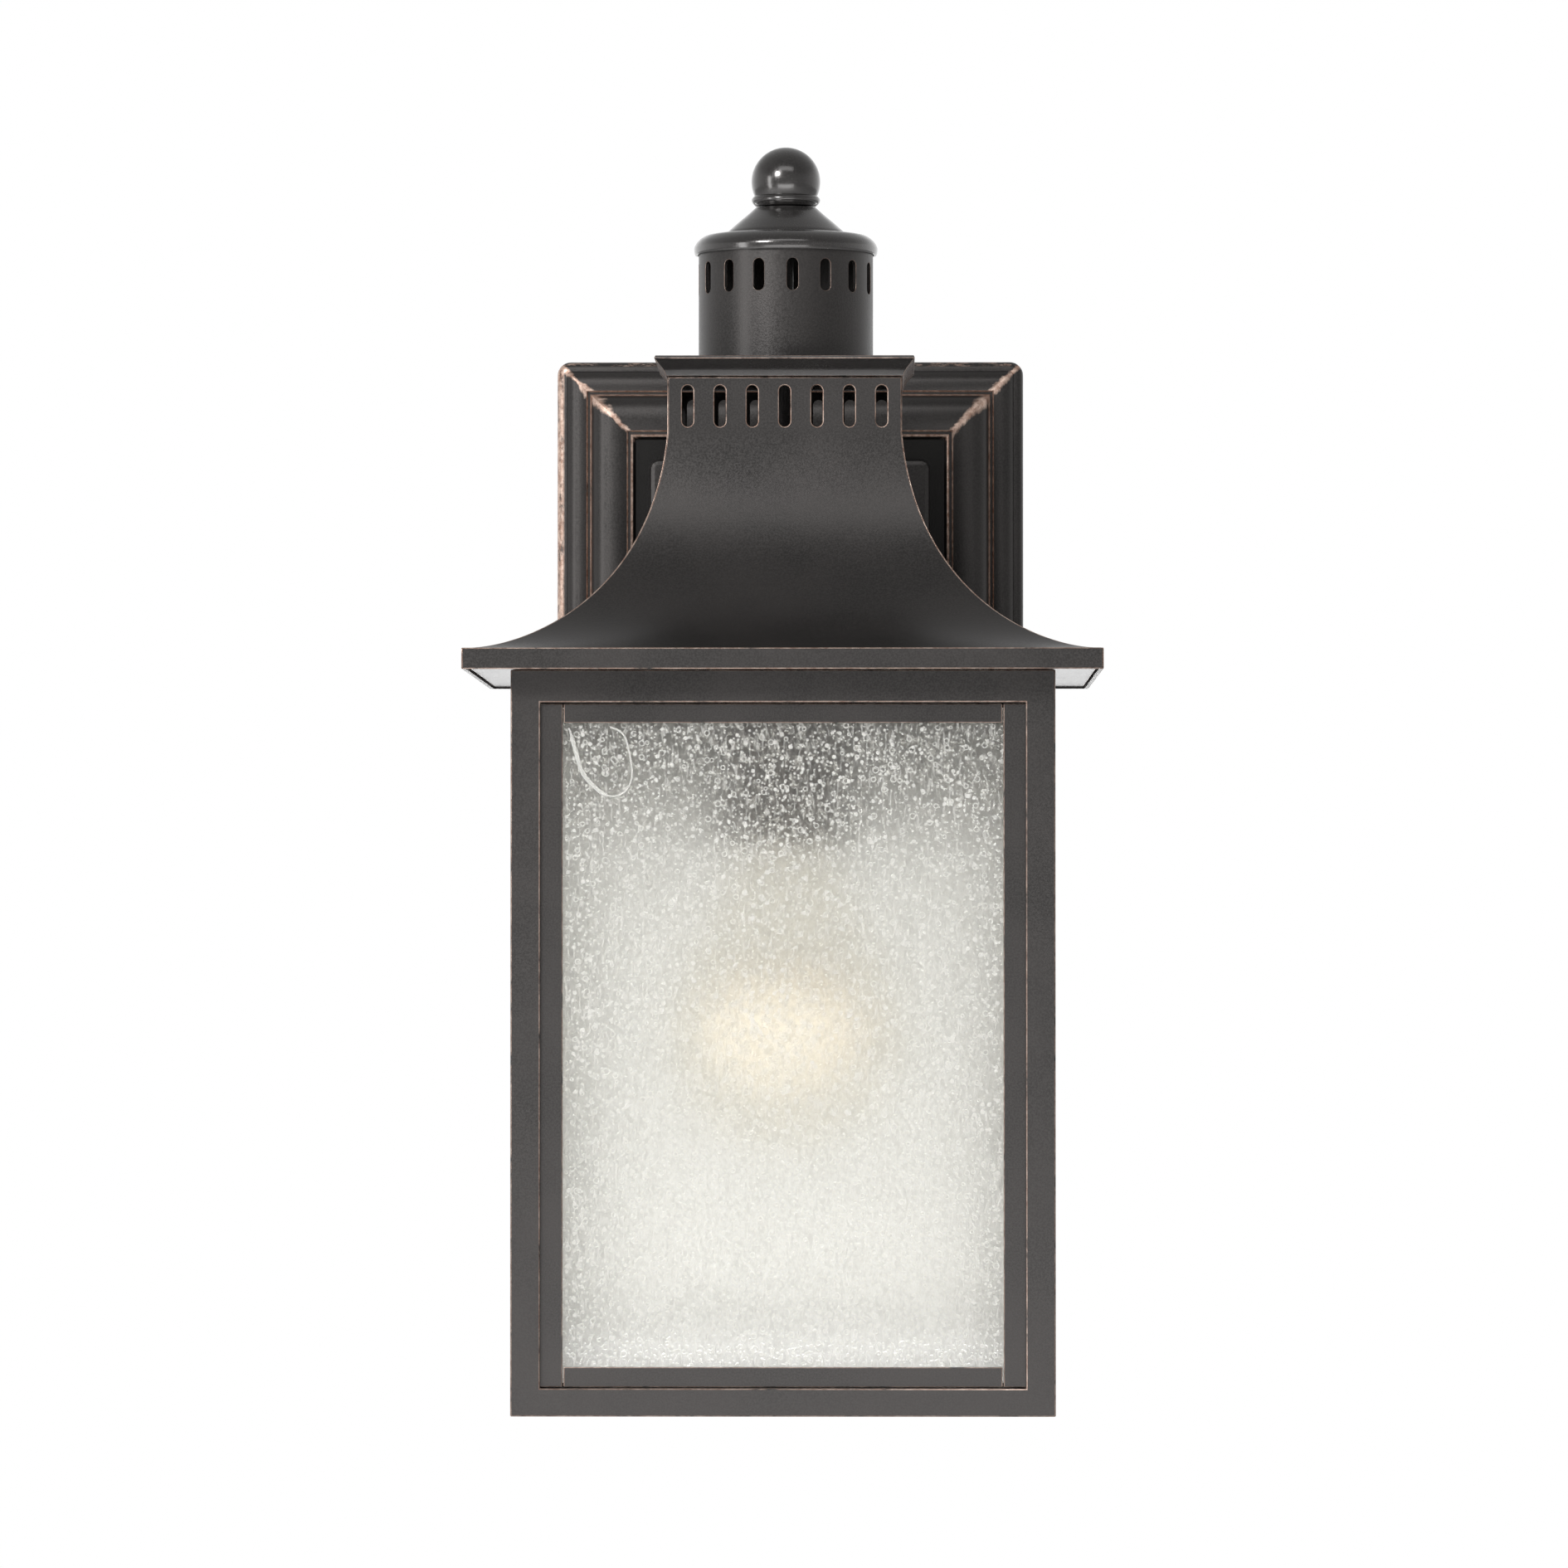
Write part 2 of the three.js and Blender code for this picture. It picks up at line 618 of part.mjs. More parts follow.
// Outline of the envelope from its neck to its lowest point, drawn in by the wall for the inside.
function envelope(inset) {
  const neck = BULB_BASE_R - 0.4 - inset;
  const swell = new THREE.CubicBezierCurve(
    new THREE.Vector2(neck, BULB_NECK_Z - GAP),
    new THREE.Vector2(neck + 0.5, -66),
    new THREE.Vector2(BULB_R - inset, -72),
    new THREE.Vector2(BULB_R - inset, BULB_Z),
  );
  const points = swell.getPoints(7);
  const steps = 6;
  for (let i = 1; i <= steps; i += 1) {
    const angle = (i / steps) * (Math.PI / 2);
    const radius = BULB_R - inset;
    points.push(new THREE.Vector2(radius * Math.cos(angle), BULB_Z - radius * Math.sin(angle)));
  }
  points[points.length - 1].x = 0;
  return points;
}
const envelopeOutline = [...envelope(0).reverse(), ...envelope(BULB_WALL)];
addPiece(head, 'bulb_glass', turned(envelopeOutline.map((point) => [point.x, point.y]), 20), opal);

// ---------------------------------------------------------------- wall plate

// Distance in from the plate's edge against distance from the wall: a rolled rim, two convex bands, and a
// narrow groove after each band.
function mouldingProfile() {
  const path = new THREE.Path();
  path.moveTo(0, 0);
  path.lineTo(0, 6);
  path.quadraticCurveTo(0, 8.4, 2.6, 8.4);
  path.quadraticCurveTo(4.2, 11.4, 8, 10.8);
  path.lineTo(8.4, 10);
  path.lineTo(9, 10);
  path.lineTo(9.2, 11.2);
  path.quadraticCurveTo(11, 17.2, 19, 15.8);
  path.lineTo(19.4, 15);
  path.lineTo(20.2, 15);
  path.lineTo(21.2, FIELD_FRONT);
  return path.getPoints(4);
}

// The holes through the plate and its panel: the leads' passage, the two studs and the arm's two screws.
function fixingHoles(back, front) {
  return [
    rodForward(NIPPLE_R, back, front, 0, ARM_WIRE_Z),
    ...Object.values(STUDS_Z).map((z) => rodForward(STUD_R + GAP, back, front, 0, z, 12)),
    ...Object.values(ARM_SCREWS_Z).map((z) => rodForward(SCREW_R + GAP, back, front, 0, z, 12)),
  ];
}

function wallPlate() {
  const hollow = [
    [20, FIELD_BACK],
    [18, 13.8],
    [11.5, 13],
    [9.6, 9],
    [4.4, 8],
    [PLATE_RIM_WALL, 6],
    [PLATE_RIM_WALL, 0],
  ];
  const section = [...hollow, ...mouldingProfile().map((point) => [point.x, point.y])];
  const rings = section.map(([inset, out]) => roundedRing(
    PLATE_HALF_X - inset,
    PLATE_HALF_Z - inset,
    Math.max(PLATE_CORNER_R - inset, 0.4),
    (x, z) => new THREE.Vector3(x, -out, PLATE_Z + z),
  ));
  return cut(skin(rings, false), ...fixingHoles(FIELD_BACK - SPARE, FIELD_FRONT + SPARE));
}
addPiece(lantern, 'wall_plate', wallPlate(), bronze);

function centrePanel() {
  const bevel = 1.4;
  const rings = [[0, PANEL_BACK], [0, PANEL_FRONT - bevel], [0.4, PANEL_FRONT - 0.4], [bevel, PANEL_FRONT]];
  const panel = skin(rings.map(([inset, out]) => roundedRing(
    PANEL_HALF_X - inset,
    PANEL_HALF_Z - inset,
    PANEL_CORNER_R - inset,
    (x, z) => new THREE.Vector3(x, -out, PLATE_Z + z),
  )), false);
  return cut(panel, ...fixingHoles(PANEL_BACK - SPARE, PANEL_FRONT + SPARE));
}
addPiece(lantern, 'centre_panel', centrePanel(), bronze);

// ---------------------------------------------------------------- crossbar and fasteners

function crossbar() {
  const bar = box(
    [-BRACKET_HALF_X, -BRACKET_THICKNESS, PLATE_Z - BRACKET_HALF_Z],
    [BRACKET_HALF_X, 0, PLATE_Z + BRACKET_HALF_Z],
  );
  const through = [-SPARE, BRACKET_THICKNESS + SPARE];
  const slots = BOX_SLOTS_Z.map((z) => {
    const shape = slotShape(BOX_SLOT_WIDTH, BOX_SLOT_LENGTH, 0, z);
    return extrudeForward(shape, ...through);
  });
  const studHoles = Object.values(STUDS_Z).map((z) => rodForward(STUD_R + GAP, ...through, 0, z, 12));
  const earthHole = rodForward(SCREW_R + GAP, ...through, 0, EARTH_SCREW_Z, 12);
  return cut(bar, ...slots, ...studHoles, earthHole);
}
addPiece(lantern, 'crossbar', crossbar(), zinc);

const studFront = PANEL_FRONT + 7;
const capNutBack = PANEL_FRONT + GAP;
for (const [place, z] of Object.entries(STUDS_Z)) {
  addPiece(lantern, `stud_${place}`, rodForward(STUD_R, 0, studFront, 0, z, 12), zinc);
  addPiece(lantern, `cap_nut_${place}`, turnedForward([
    [STUD_R + GAP, capNutBack],
    [5.5, capNutBack],
    [5.5, capNutBack + 1.4],
    [4.4, capNutBack + 1.8],
    [4.4, capNutBack + 5.5],
    [3.4, capNutBack + 8],
    [1.6, capNutBack + 9.4],
    [0, capNutBack + 9.6],
    [0, studFront + 0.5],
    [STUD_R + GAP, studFront + 0.5],
  ], 12, 0, z), bronze);
}

// A round-headed screw that runs forward: the head is behind, the shank reaches towards -Y.
function screwForward(headBack, headFront, tip, z) {
  return turnedForward([
    [0, headBack],
    [SCREW_HEAD_R - 1, headBack],
    [SCREW_HEAD_R, headBack + 1],
    [SCREW_HEAD_R, headFront],
    [SCREW_R, headFront],
    [SCREW_R, tip],
    [0, tip],
  ], 12, 0, z);
}
const armScrewTip = PANEL_FRONT + 12;
for (const [place, z] of Object.entries(ARM_SCREWS_Z)) {
  const screw = screwForward(FIELD_BACK - 2.8, FIELD_BACK - GAP, armScrewTip, z);
  addPiece(lantern, `arm_screw_${place}`, screw, zinc);
}
const earthHead = BRACKET_THICKNESS + GAP;
addPiece(lantern, 'earth_screw', turnedForward([
  [0, 0.2],
  [SCREW_R, 0.2],
  [SCREW_R, earthHead],
  [SCREW_HEAD_R, earthHead],
  [SCREW_HEAD_R, earthHead + 1.5],
  [SCREW_HEAD_R - 1, earthHead + 2.4],
  [0, earthHead + 2.4],
], 12, 0, EARTH_SCREW_Z), brass);

// ---------------------------------------------------------------- arm

const armBack = PANEL_FRONT + GAP;
const neckBackY = AXIS_Y + NECK_HALF;
const armWireIn = new THREE.Vector3(0, -armBack, ARM_WIRE_Z);
const armWireOut = new THREE.Vector3(0, neckBackY + ARM_NIPPLE_SOCKET, ARM_NIPPLE_Z);

function arm() {
  const end = roofCurve.getPoints(30).filter((point) => point.y >= ARM_END_LOW);
  const endPoints = end.map((point) => new THREE.Vector2(AXIS_Y + point.x + GAP, point.y));
  const side = [
    new THREE.Vector2(-armBack, ARM_BASE_LOW),
    new THREE.Vector2(-armBack, ARM_BASE_HIGH),
    new THREE.Vector2(armWireOut.y + 5, NECK_STRAIGHT_TO),
    ...endPoints,
  ];
  const foot = extrudeForward(
    new THREE.Shape(roundedRing(17, 18, 4, (x, z) => new THREE.Vector2(x, z + ARM_WIRE_Z))),
    armBack,
    armBack + ARM_FOOT,
  );
  const along = armWireOut.clone().sub(armWireIn).normalize().multiplyScalar(3);
  const screwHole = (z) => rodForward(SCREW_R + GAP, armBack - SPARE, armScrewTip + 0.5, 0, z, 12);
  return cut(
    join(extrudeAcross(side.reverse(), 2 * ARM_HALF_X), foot),
    rodBetween(armWireIn.clone().sub(along), armWireOut.clone().add(along), ARM_BORE_R),
    rodForward(NIPPLE_R + GAP, -armWireOut.y, -neckBackY + SPARE, 0, ARM_NIPPLE_Z),
    ...Object.values(ARM_SCREWS_Z).map(screwHole),
  );
}
addPiece(lantern, 'arm', arm(), bronze);

const armNippleBack = -armWireOut.y + GAP;
const armNippleFront = -neckBackY + 11;
addPiece(lantern, 'arm_nipple', turnedForward([
  [NIPPLE_BORE_R, armNippleBack],
  [NIPPLE_R, armNippleBack],
  [NIPPLE_R, armNippleFront],
  [NIPPLE_BORE_R, armNippleFront],
], 16, 0, ARM_NIPPLE_Z), zinc);
const nippleNutBack = -neckBackY + SHEET + GAP;
addPiece(lantern, 'nipple_nut', extrudeForward(
  hexagonShape(8.5, NIPPLE_R + GAP),
  nippleNutBack,
  nippleNutBack + 3.5,
  8,
).translate(0, 0, ARM_NIPPLE_Z), zinc);

// ---------------------------------------------------------------- leads and connectors

function lead(points, steps) {
  const route = new THREE.CatmullRomCurve3(points.map((point) => new THREE.Vector3(...point)));
  const section = new THREE.Shape();
  section.absarc(0, 0, LEAD_R, 0, TAU);
  const settings = { steps, extrudePath: route, curveSegments: 4, bevelEnabled: false };
  return new THREE.ExtrudeGeometry(section, settings);
}

const connectorY = -6.2;
const connectorTop = 12;
for (const [name, side, insulation] of [['line', 1, blackInsulation], ['neutral', -1, whiteInsulation]]) {
  const x = side * LEAD_X;
  addPiece(lantern, `lead_${name}`, lead([
    [x, AXIS_Y, nippleBottom],
    [x, AXIS_Y, 8],
    [x, AXIS_Y + 2, 22],
    [x, AXIS_Y + 8, 36],
    [x, AXIS_Y + 16, 47.5],
    [x, neckBackY - 8, ARM_NIPPLE_Z],
    [x, neckBackY, ARM_NIPPLE_Z],
    [x, neckBackY + 10, ARM_NIPPLE_Z],
    [x, -62, 44.8],
    [x, -48, 37.5],
    [x, -34, 30],
    [x, -24, 24.2],
    [x, -17, ARM_WIRE_Z],
    [side * 3, -10.5, ARM_WIRE_Z],
    [side * 9, -6.8, 23.5],
    [side * 18, connectorY, 25],
    [side * 24.5, connectorY, 21.5],
    [side * CONNECTOR_X, connectorY, 14],
    [side * CONNECTOR_X, connectorY, 3],
  ], 36), insulation);
  addPiece(lantern, `wire_connector_${name}`, turned([
    [3, connectorTop],
    [4.8, connectorTop],
    [4.8, 3],
    [3.4, -8],
    [0, -9],
    [0, 1],
    [2.2, 1],
  ], 12).translate(side * CONNECTOR_X, connectorY, 0), connectorPlastic);
}

addPiece(lantern, 'lead_earth', lead([
  [0, -8, ARM_SCREWS_Z.lower],
  [4, -7.4, ARM_SCREWS_Z.lower - 0.5],
  [6.5, -6.8, 9],
  [4, -6.3, EARTH_SCREW_Z - 0.5],
  [0.5, -6.2, EARTH_SCREW_Z],
], 12), copper);

lantern.position.z = -PLATE_Z;

export default lantern;
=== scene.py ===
"""Outdoor wall lantern: the looks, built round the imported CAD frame.

Metres, +Z up; the wall is the plane y = 0 and the front faces -Y.
"""

import math

import bmesh
import bpy
from mathutils import Matrix, Vector


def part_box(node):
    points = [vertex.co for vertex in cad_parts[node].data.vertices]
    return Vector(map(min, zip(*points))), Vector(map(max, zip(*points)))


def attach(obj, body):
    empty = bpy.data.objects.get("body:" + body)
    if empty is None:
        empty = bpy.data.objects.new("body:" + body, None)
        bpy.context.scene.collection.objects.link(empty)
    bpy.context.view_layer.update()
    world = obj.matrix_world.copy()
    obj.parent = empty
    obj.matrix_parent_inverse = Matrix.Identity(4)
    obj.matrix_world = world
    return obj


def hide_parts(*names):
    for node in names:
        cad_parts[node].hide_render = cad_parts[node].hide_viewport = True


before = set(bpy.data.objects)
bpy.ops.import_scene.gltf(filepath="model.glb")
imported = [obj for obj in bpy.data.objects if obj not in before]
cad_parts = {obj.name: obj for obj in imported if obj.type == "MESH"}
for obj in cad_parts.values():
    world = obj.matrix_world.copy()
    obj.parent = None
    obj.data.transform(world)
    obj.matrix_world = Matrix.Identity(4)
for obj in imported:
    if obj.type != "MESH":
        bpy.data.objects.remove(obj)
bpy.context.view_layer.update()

MM = 0.001
BODY = "lantern"
LAMP = "lamp"
FINIAL = "finial_body"
SIDES = ("front", "right", "rear", "left")
CORNERS = ("front_right", "rear_right", "rear_left", "front_left")


# ---------------------------------------------------------------- sizes read from the frame

def size_of(node):
    low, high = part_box(node)
    return low, high, (low + high) / 2


roof_low, roof_high, _ = size_of("roof_panel_front")
pan_low, pan_high, axis = size_of("roof_pan")
AXIS_Y = axis.y
ROOF_HALF = AXIS_Y - roof_low.y
EAVE_BOTTOM = roof_low.z
NECK_TOP = roof_high.z
NECK_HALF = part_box("neck_strap")[1].x + 1.5 * MM
SHEET = pan_high.z - pan_low.z

# Heights of the head are given from a datum just above the eave's lower edge.
DATUM = EAVE_BOTTOM + 2.9 * MM

# The roof's curve, as half-width and height from the neck to the eave.
NECK_STRAIGHT_TO = DATUM + 59 * MM
EAVE_TOP = DATUM + 2.4 * MM
ROOF_CURVE = [
    Vector((NECK_HALF, NECK_STRAIGHT_TO)),
    Vector((33.8 * MM, DATUM + 15.9 * MM)),
    Vector((66.2 * MM, DATUM + 2.2 * MM)),
    Vector((ROOF_HALF, EAVE_TOP)),
]

# Vent slots, and the hole for the arm's nipple in the rear sheet.
NECK_SLOTS = 7
NECK_SLOT_PITCH = 8.24 * MM
NECK_SLOT_WIDTH = 2.9 * MM
NECK_SLOT_HEIGHT = 10.6 * MM
NECK_SLOT_Z = DATUM + 65.8 * MM

NIPPLE_HOLE = 10.6 * MM
NIPPLE_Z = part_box("arm_nipple")[0].z + 5 * MM

# The lamp: its envelope's globe, and the lit core inside it, which sits a little above the globe's centre.
GLOBE_R = 30 * MM
CORE_R = 21 * MM
CORE_HALF_HEIGHT = 18 * MM
CORE_RISE = 3 * MM

CHIMNEY_SLOTS = 16
CHIMNEY_SLOT_TURN = math.radians(5)
CHIMNEY_SLOT_WIDTH = 3 * MM
CHIMNEY_SLOT_HEIGHT = 8.3 * MM
CHIMNEY_SLOT_Z = DATUM + 100.1 * MM

SEALANT_R = 0.28 * MM
CUTTER_REACH = 4 * MM  # how far a slot cutter reaches to either side of the face it cuts


# ---------------------------------------------------------------- material nodes

class Graph:
    """A short way to write a material's nodes."""

    def __init__(self, name):
        self.material = bpy.data.materials.new(name)
        self.material.use_nodes = True
        self.tree = self.material.node_tree
        self.tree.nodes.clear()
        self.output = self.add("ShaderNodeOutputMaterial")
        self.position = self.add("ShaderNodeTexCoord").outputs["Object"]

    def add(self, kind, **settings):
        node = self.tree.nodes.new(kind)
        for key, value in settings.items():
            setattr(node, key, value)
        return node

    def plug(self, socket, value):
        if isinstance(value, bpy.types.NodeSocket):
            self.tree.links.new(value, socket)
        else:
            socket.default_value = value

    def math(self, operation, *values, clamp=False):
        node = self.add("ShaderNodeMath", operation=operation, use_clamp=clamp)
        for socket, value in zip(node.inputs, values):
            self.plug(socket, value)
        return node.outputs[0]

    def scaled(self, factors):
        node = self.add("ShaderNodeVectorMath", operation="MULTIPLY")
        self.plug(node.inputs[0], self.position)
        node.inputs[1].default_value = factors
        return node.outputs[0]

    def noise(self, per_metre, detail=2.0, roughness=0.5, stretch=(1, 1, 1)):
        node = self.add("ShaderNodeTexNoise")
        self.plug(node.inputs["Vector"], self.scaled(stretch))
        node.inputs["Scale"].default_value = per_metre
        node.inputs["Detail"].default_value = detail
        node.inputs["Roughness"].default_value = roughness
        return node.outputs[0]

    def voronoi(self, per_metre):
        node = self.add("ShaderNodeTexVoronoi")
        self.plug(node.inputs["Vector"], self.position)
        node.inputs["Scale"].default_value = per_metre
        return node.outputs["Distance"], node.outputs["Color"]

    def ramp(self, value, low, high, out_low=0.0, out_high=1.0):
        node = self.add("ShaderNodeMapRange")
        for key, number in (("From Min", low), ("From Max", high), ("To Min", out_low), ("To Max", out_high)):
            node.inputs[key].default_value = number
        self.plug(node.inputs["Value"], value)
        return node.outputs[0]

    def mix(self, factor, first, second):
        node = self.add("ShaderNodeMix", data_type="RGBA")
        self.plug(node.inputs["Factor"], factor)
        self.plug(node.inputs["A"], first)
        self.plug(node.inputs["B"], second)
        return node.outputs["Result"]

    def bump(self, height, strength, distance):
        node = self.add("ShaderNodeBump")
        self.plug(node.inputs["Height"], height)
        node.inputs["Strength"].default_value = strength
        node.inputs["Distance"].default_value = distance
        return node.outputs[0]

    def principled(self, **sockets):
        node = self.add("ShaderNodeBsdfPrincipled")
        for key, value in sockets.items():
            self.plug(node.inputs[key.replace("_", " ")], value)
        return node.outputs[0]

    def finish(self, shader):
        self.plug(self.output.inputs["Surface"], shader)
        return self.material


def axis_value(graph, index):
    node = graph.add("ShaderNodeSeparateXYZ")
    graph.plug(node.inputs[0], graph.position)
    return node.outputs[index]


BRONZE_DARK = (0.037, 0.0347, 0.0336, 1)
BRONZE_LIGHT = (0.051, 0.0478, 0.0464, 1)
BRONZE_GRAIN = (0.058, 0.053, 0.051, 1)
# Painted shade: a near-black that darkens the wall plate's recessed middle.
BRONZE_PAINTED_SHADE = (0.010, 0.0095, 0.009, 1)
COPPER = (0.36, 0.215, 0.16, 1)
COPPER_PALE = (0.74, 0.565, 0.47, 1)


def bronze_parts(graph):
    """Colour, roughness and normal of the dark bronze finish: smooth, with a very fine grain."""
    cloud = graph.noise(40, 3, 0.5)
    grain = graph.noise(2200, 2, 0.5)
    colour = graph.mix(graph.ramp(grain, 0.38, 0.62), BRONZE_DARK, BRONZE_LIGHT)
    colour = graph.mix(graph.ramp(cloud, 0.35, 0.65, 0, 0.5), colour, BRONZE_GRAIN)
    base = graph.ramp(cloud, 0.3, 0.7, 0.33, 0.38)
    roughness = graph.math("ADD", base, graph.ramp(grain, 0.3, 0.7, -0.05, 0.05))
    normal = graph.bump(grain, 0.22, 0.0001)
    return colour, roughness, normal


def with_copper(graph, mask, painted_shade=None):
    """The bronze finish, rubbed through to copper where the mask is 1. The third argument, when given, is a
    mask of painted shade: it darkens the finish where it is 1.
    """
    colour, roughness, normal = bronze_parts(graph)
    # Painted shade: where the mask is given, the colour goes towards a near-black.
    if painted_shade is not None:
        colour = graph.mix(painted_shade, colour, BRONZE_PAINTED_SHADE)
    tone = graph.noise(600, 3, 0.7)
    copper = graph.mix(graph.ramp(tone, 0.35, 0.65), COPPER, COPPER_PALE)
    return graph.principled(
        Base_Color=graph.mix(mask, colour, copper),
        Metallic=graph.ramp(mask, 0, 1, 0.7, 0.6),
        Roughness=graph.math("ADD", roughness, graph.math("MULTIPLY", mask, 0.06)),
        Normal=normal,
    )


def bronze(name, smooth=0.0, coat=0.0):
    """The plain finish. smooth is taken off its roughness; coat is its clear lacquer."""
    graph = Graph(name)
    colour, roughness, normal = bronze_parts(graph)
    return graph.finish(graph.principled(
        Base_Color=colour,
        Metallic=0.7,
        Roughness=graph.math("SUBTRACT", roughness, smooth),
        Normal=normal,
        Coat_Weight=coat,
        Coat_Roughness=0.16,
    ))


def bronze_edge(name, cover, strength):
    """The finish along an arris: cover is how much of it is rubbed through, strength how far to copper."""
    graph = Graph(name)
    worn = graph.noise(160, 5, 0.7)
    edge = 0.62 - 0.34 * cover
    return graph.finish(with_copper(graph, graph.ramp(worn, edge, edge + 0.16, 0, strength)))


def bronze_plate():
    """The wall plate's finish: streaky copper patches along its mitres, copper on the left and top edges that
    is partly wear and partly painted highlight, and painted shade over the recessed middle inside the bands.
    """
    graph = Graph("oil_rubbed_bronze_plate_painted_shade_and_highlight")
    low, high, _ = size_of("wall_plate")
    across = axis_value(graph, 0)
    from_side = graph.math("SUBTRACT", high.x, graph.math("ABSOLUTE", across))
    from_end = graph.math("SUBTRACT", high.z, graph.math("ABSOLUTE", axis_value(graph, 2)))
    off_mitre = graph.math("ABSOLUTE", graph.math("SUBTRACT", from_side, from_end))
    inset = graph.math("MINIMUM", from_side, from_end)
    in_bands = graph.ramp(inset, 20.9 * MM, 21.3 * MM, 1, 0)
    upright = graph.math("LESS_THAN", from_side, from_end)
    strokes = graph.mix(upright, graph.noise(750, 5, 0.8, (0.3, 1, 1)), graph.noise(750, 5, 0.8, (1, 1, 0.3)))
    broad = graph.noise(150, 3, 0.6)
    off_crossing = graph.math("ABSOLUTE", graph.math("SUBTRACT", inset, 10.5 * MM))
    crossing = graph.ramp(off_crossing, 0, 5 * MM, 2.4 * MM, 0)
    reach = graph.math("ADD", graph.ramp(broad, 0.35, 0.65, 0.6 * MM, 2.4 * MM), crossing)
    near = graph.math("SUBTRACT", 1.0, graph.math("DIVIDE", off_mitre, reach), clamp=True)
    patches = graph.ramp(graph.math("ADD", graph.math("MULTIPLY", near, 0.6), strokes), 0.60, 0.92)
    mitres = graph.math("MULTIPLY", graph.math("MULTIPLY", patches, graph.ramp(near, 0, 0.15)), in_bands)
    # Copper only on the left and top edges, the sides the key light comes from: partly wear, partly painted
    # highlight.
    left_edge_wear_and_highlight = graph.ramp(graph.math("SUBTRACT", across, low.x), 1.3 * MM, 2.1 * MM, 1, 0)
    left_edge_wear_and_highlight = graph.math("MULTIPLY", left_edge_wear_and_highlight, graph.ramp(strokes, 0.36, 0.48, 0.1, 0.95))
    on_front = graph.ramp(graph.math("MULTIPLY", axis_value(graph, 1), -1), 4.5 * MM, 6 * MM)
    top_edge_wear_and_highlight = graph.ramp(from_end, 0.9 * MM, 1.4 * MM, 1, 0)
    top_edge_wear_and_highlight = graph.math("MULTIPLY", top_edge_wear_and_highlight, graph.ramp(strokes, 0.5, 0.6, 0, 0.7))
    # Painted shade: the recessed middle of the plate, inside the bands, is darkened towards a near-black.
    field_painted_shade = graph.ramp(inset, 20.9 * MM, 21.3 * MM, 0, 0.85)
    edge_wear_and_highlight = graph.math("MULTIPLY", graph.math("MAXIMUM", left_edge_wear_and_highlight, top_edge_wear_and_highlight), on_front)
    return graph.finish(with_copper(graph, graph.math("MAXIMUM", mitres, edge_wear_and_highlight), field_painted_shade))


def dots(graph, per_metre, radius, keep, soft):
    """Round marks of about radius (in cell widths); keep is the share of the cells that have one."""
    distance, cell = graph.voronoi(per_metre)
    separate = graph.add("ShaderNodeSeparateColor")
    graph.plug(separate.inputs[0], cell)
    size = graph.ramp(separate.outputs[0], 0, 1, 0.45 * radius, radius)
    present = graph.math("LESS_THAN", separate.outputs[1], keep)
    inside = graph.math("SUBTRACT", size, distance)
    return graph.math("MULTIPLY", graph.ramp(inside, 0, soft), present), distance, size, present


def rings(graph, per_metre, radius, keep, width):
    _, distance, size, present = dots(graph, per_metre, radius, keep, 0.02)
    off = graph.math("ABSOLUTE", graph.math("SUBTRACT", distance, size))
    return graph.math("MULTIPLY", graph.ramp(off, 0, width, 1, 0), present)


def seeded_glass():
    """Frosted glass full of fine seeds, bubbles and pulled streaks."""
    graph = Graph("frosted_seeded_glass")
    fine = dots(graph, 980, 0.45, 0.8, 0.10)[0]
    small = dots(graph, 540, 0.34, 0.6, 0.06)[0]
    ring = rings(graph, 430, 0.32, 0.45, 0.10)
    big_ring = rings(graph, 200, 0.25, 0.14, 0.05)
    streak = graph.ramp(graph.noise(1500, 2, 0.5, (1, 1, 0.2)), 0.57, 0.66)
    patches = graph.ramp(graph.noise(60, 3, 0.6, (1, 1, 0.5)), 0.3, 0.55, 0.75, 1.0)
    seeds = graph.math("MAXIMUM", graph.math("MULTIPLY", fine, 0.8), small)
    seeds = graph.math("MAXIMUM", seeds, graph.math("MAXIMUM", ring, big_ring))
    seeds = graph.math("MAXIMUM", seeds, graph.math("MULTIPLY", streak, 0.5))
    seeds = graph.math("MULTIPLY", seeds, patches, clamp=True)
    waves = graph.math("MULTIPLY", graph.noise(500, 4, 0.6), 0.5)
    normal = graph.bump(graph.math("ADD", seeds, waves), 0.35, 0.0003)
    ripple = graph.ramp(graph.noise(1150, 3, 0.6, (1, 1, 0.7)), 0.40, 0.60)
    clear = graph.principled(
        Base_Color=graph.mix(ripple, (0.81, 0.805, 0.775, 1), (1.0, 0.995, 0.965, 1)),
        Roughness=graph.math("SUBTRACT", 0.42, graph.math("MULTIPLY", seeds, 0.1)),
        IOR=1.25,
        Transmission_Weight=1.0,
        Normal=normal,
    )
    diffuse = graph.add("ShaderNodeBsdfDiffuse")
    diffuse.inputs["Color"].default_value = (0.975, 0.965, 0.925, 1)
    graph.plug(diffuse.inputs["Normal"], normal)
    translucent = graph.add("ShaderNodeBsdfTranslucent")
    translucent.inputs["Color"].default_value = (0.985, 0.98, 0.94, 1)
    milky = graph.add("ShaderNodeMixShader")
    milky.inputs[0].default_value = 0.55
    graph.plug(milky.inputs[1], diffuse.outputs[0])
    graph.plug(milky.inputs[2], translucent.outputs[0])
    both = graph.add("ShaderNodeMixShader")
    graph.plug(both.inputs[0], graph.ramp(seeds, 0, 1, 0.05, 0.98))
    graph.plug(both.inputs[1], clear)
    graph.plug(both.inputs[2], milky.outputs[0])
    return graph.finish(both.outputs[0])


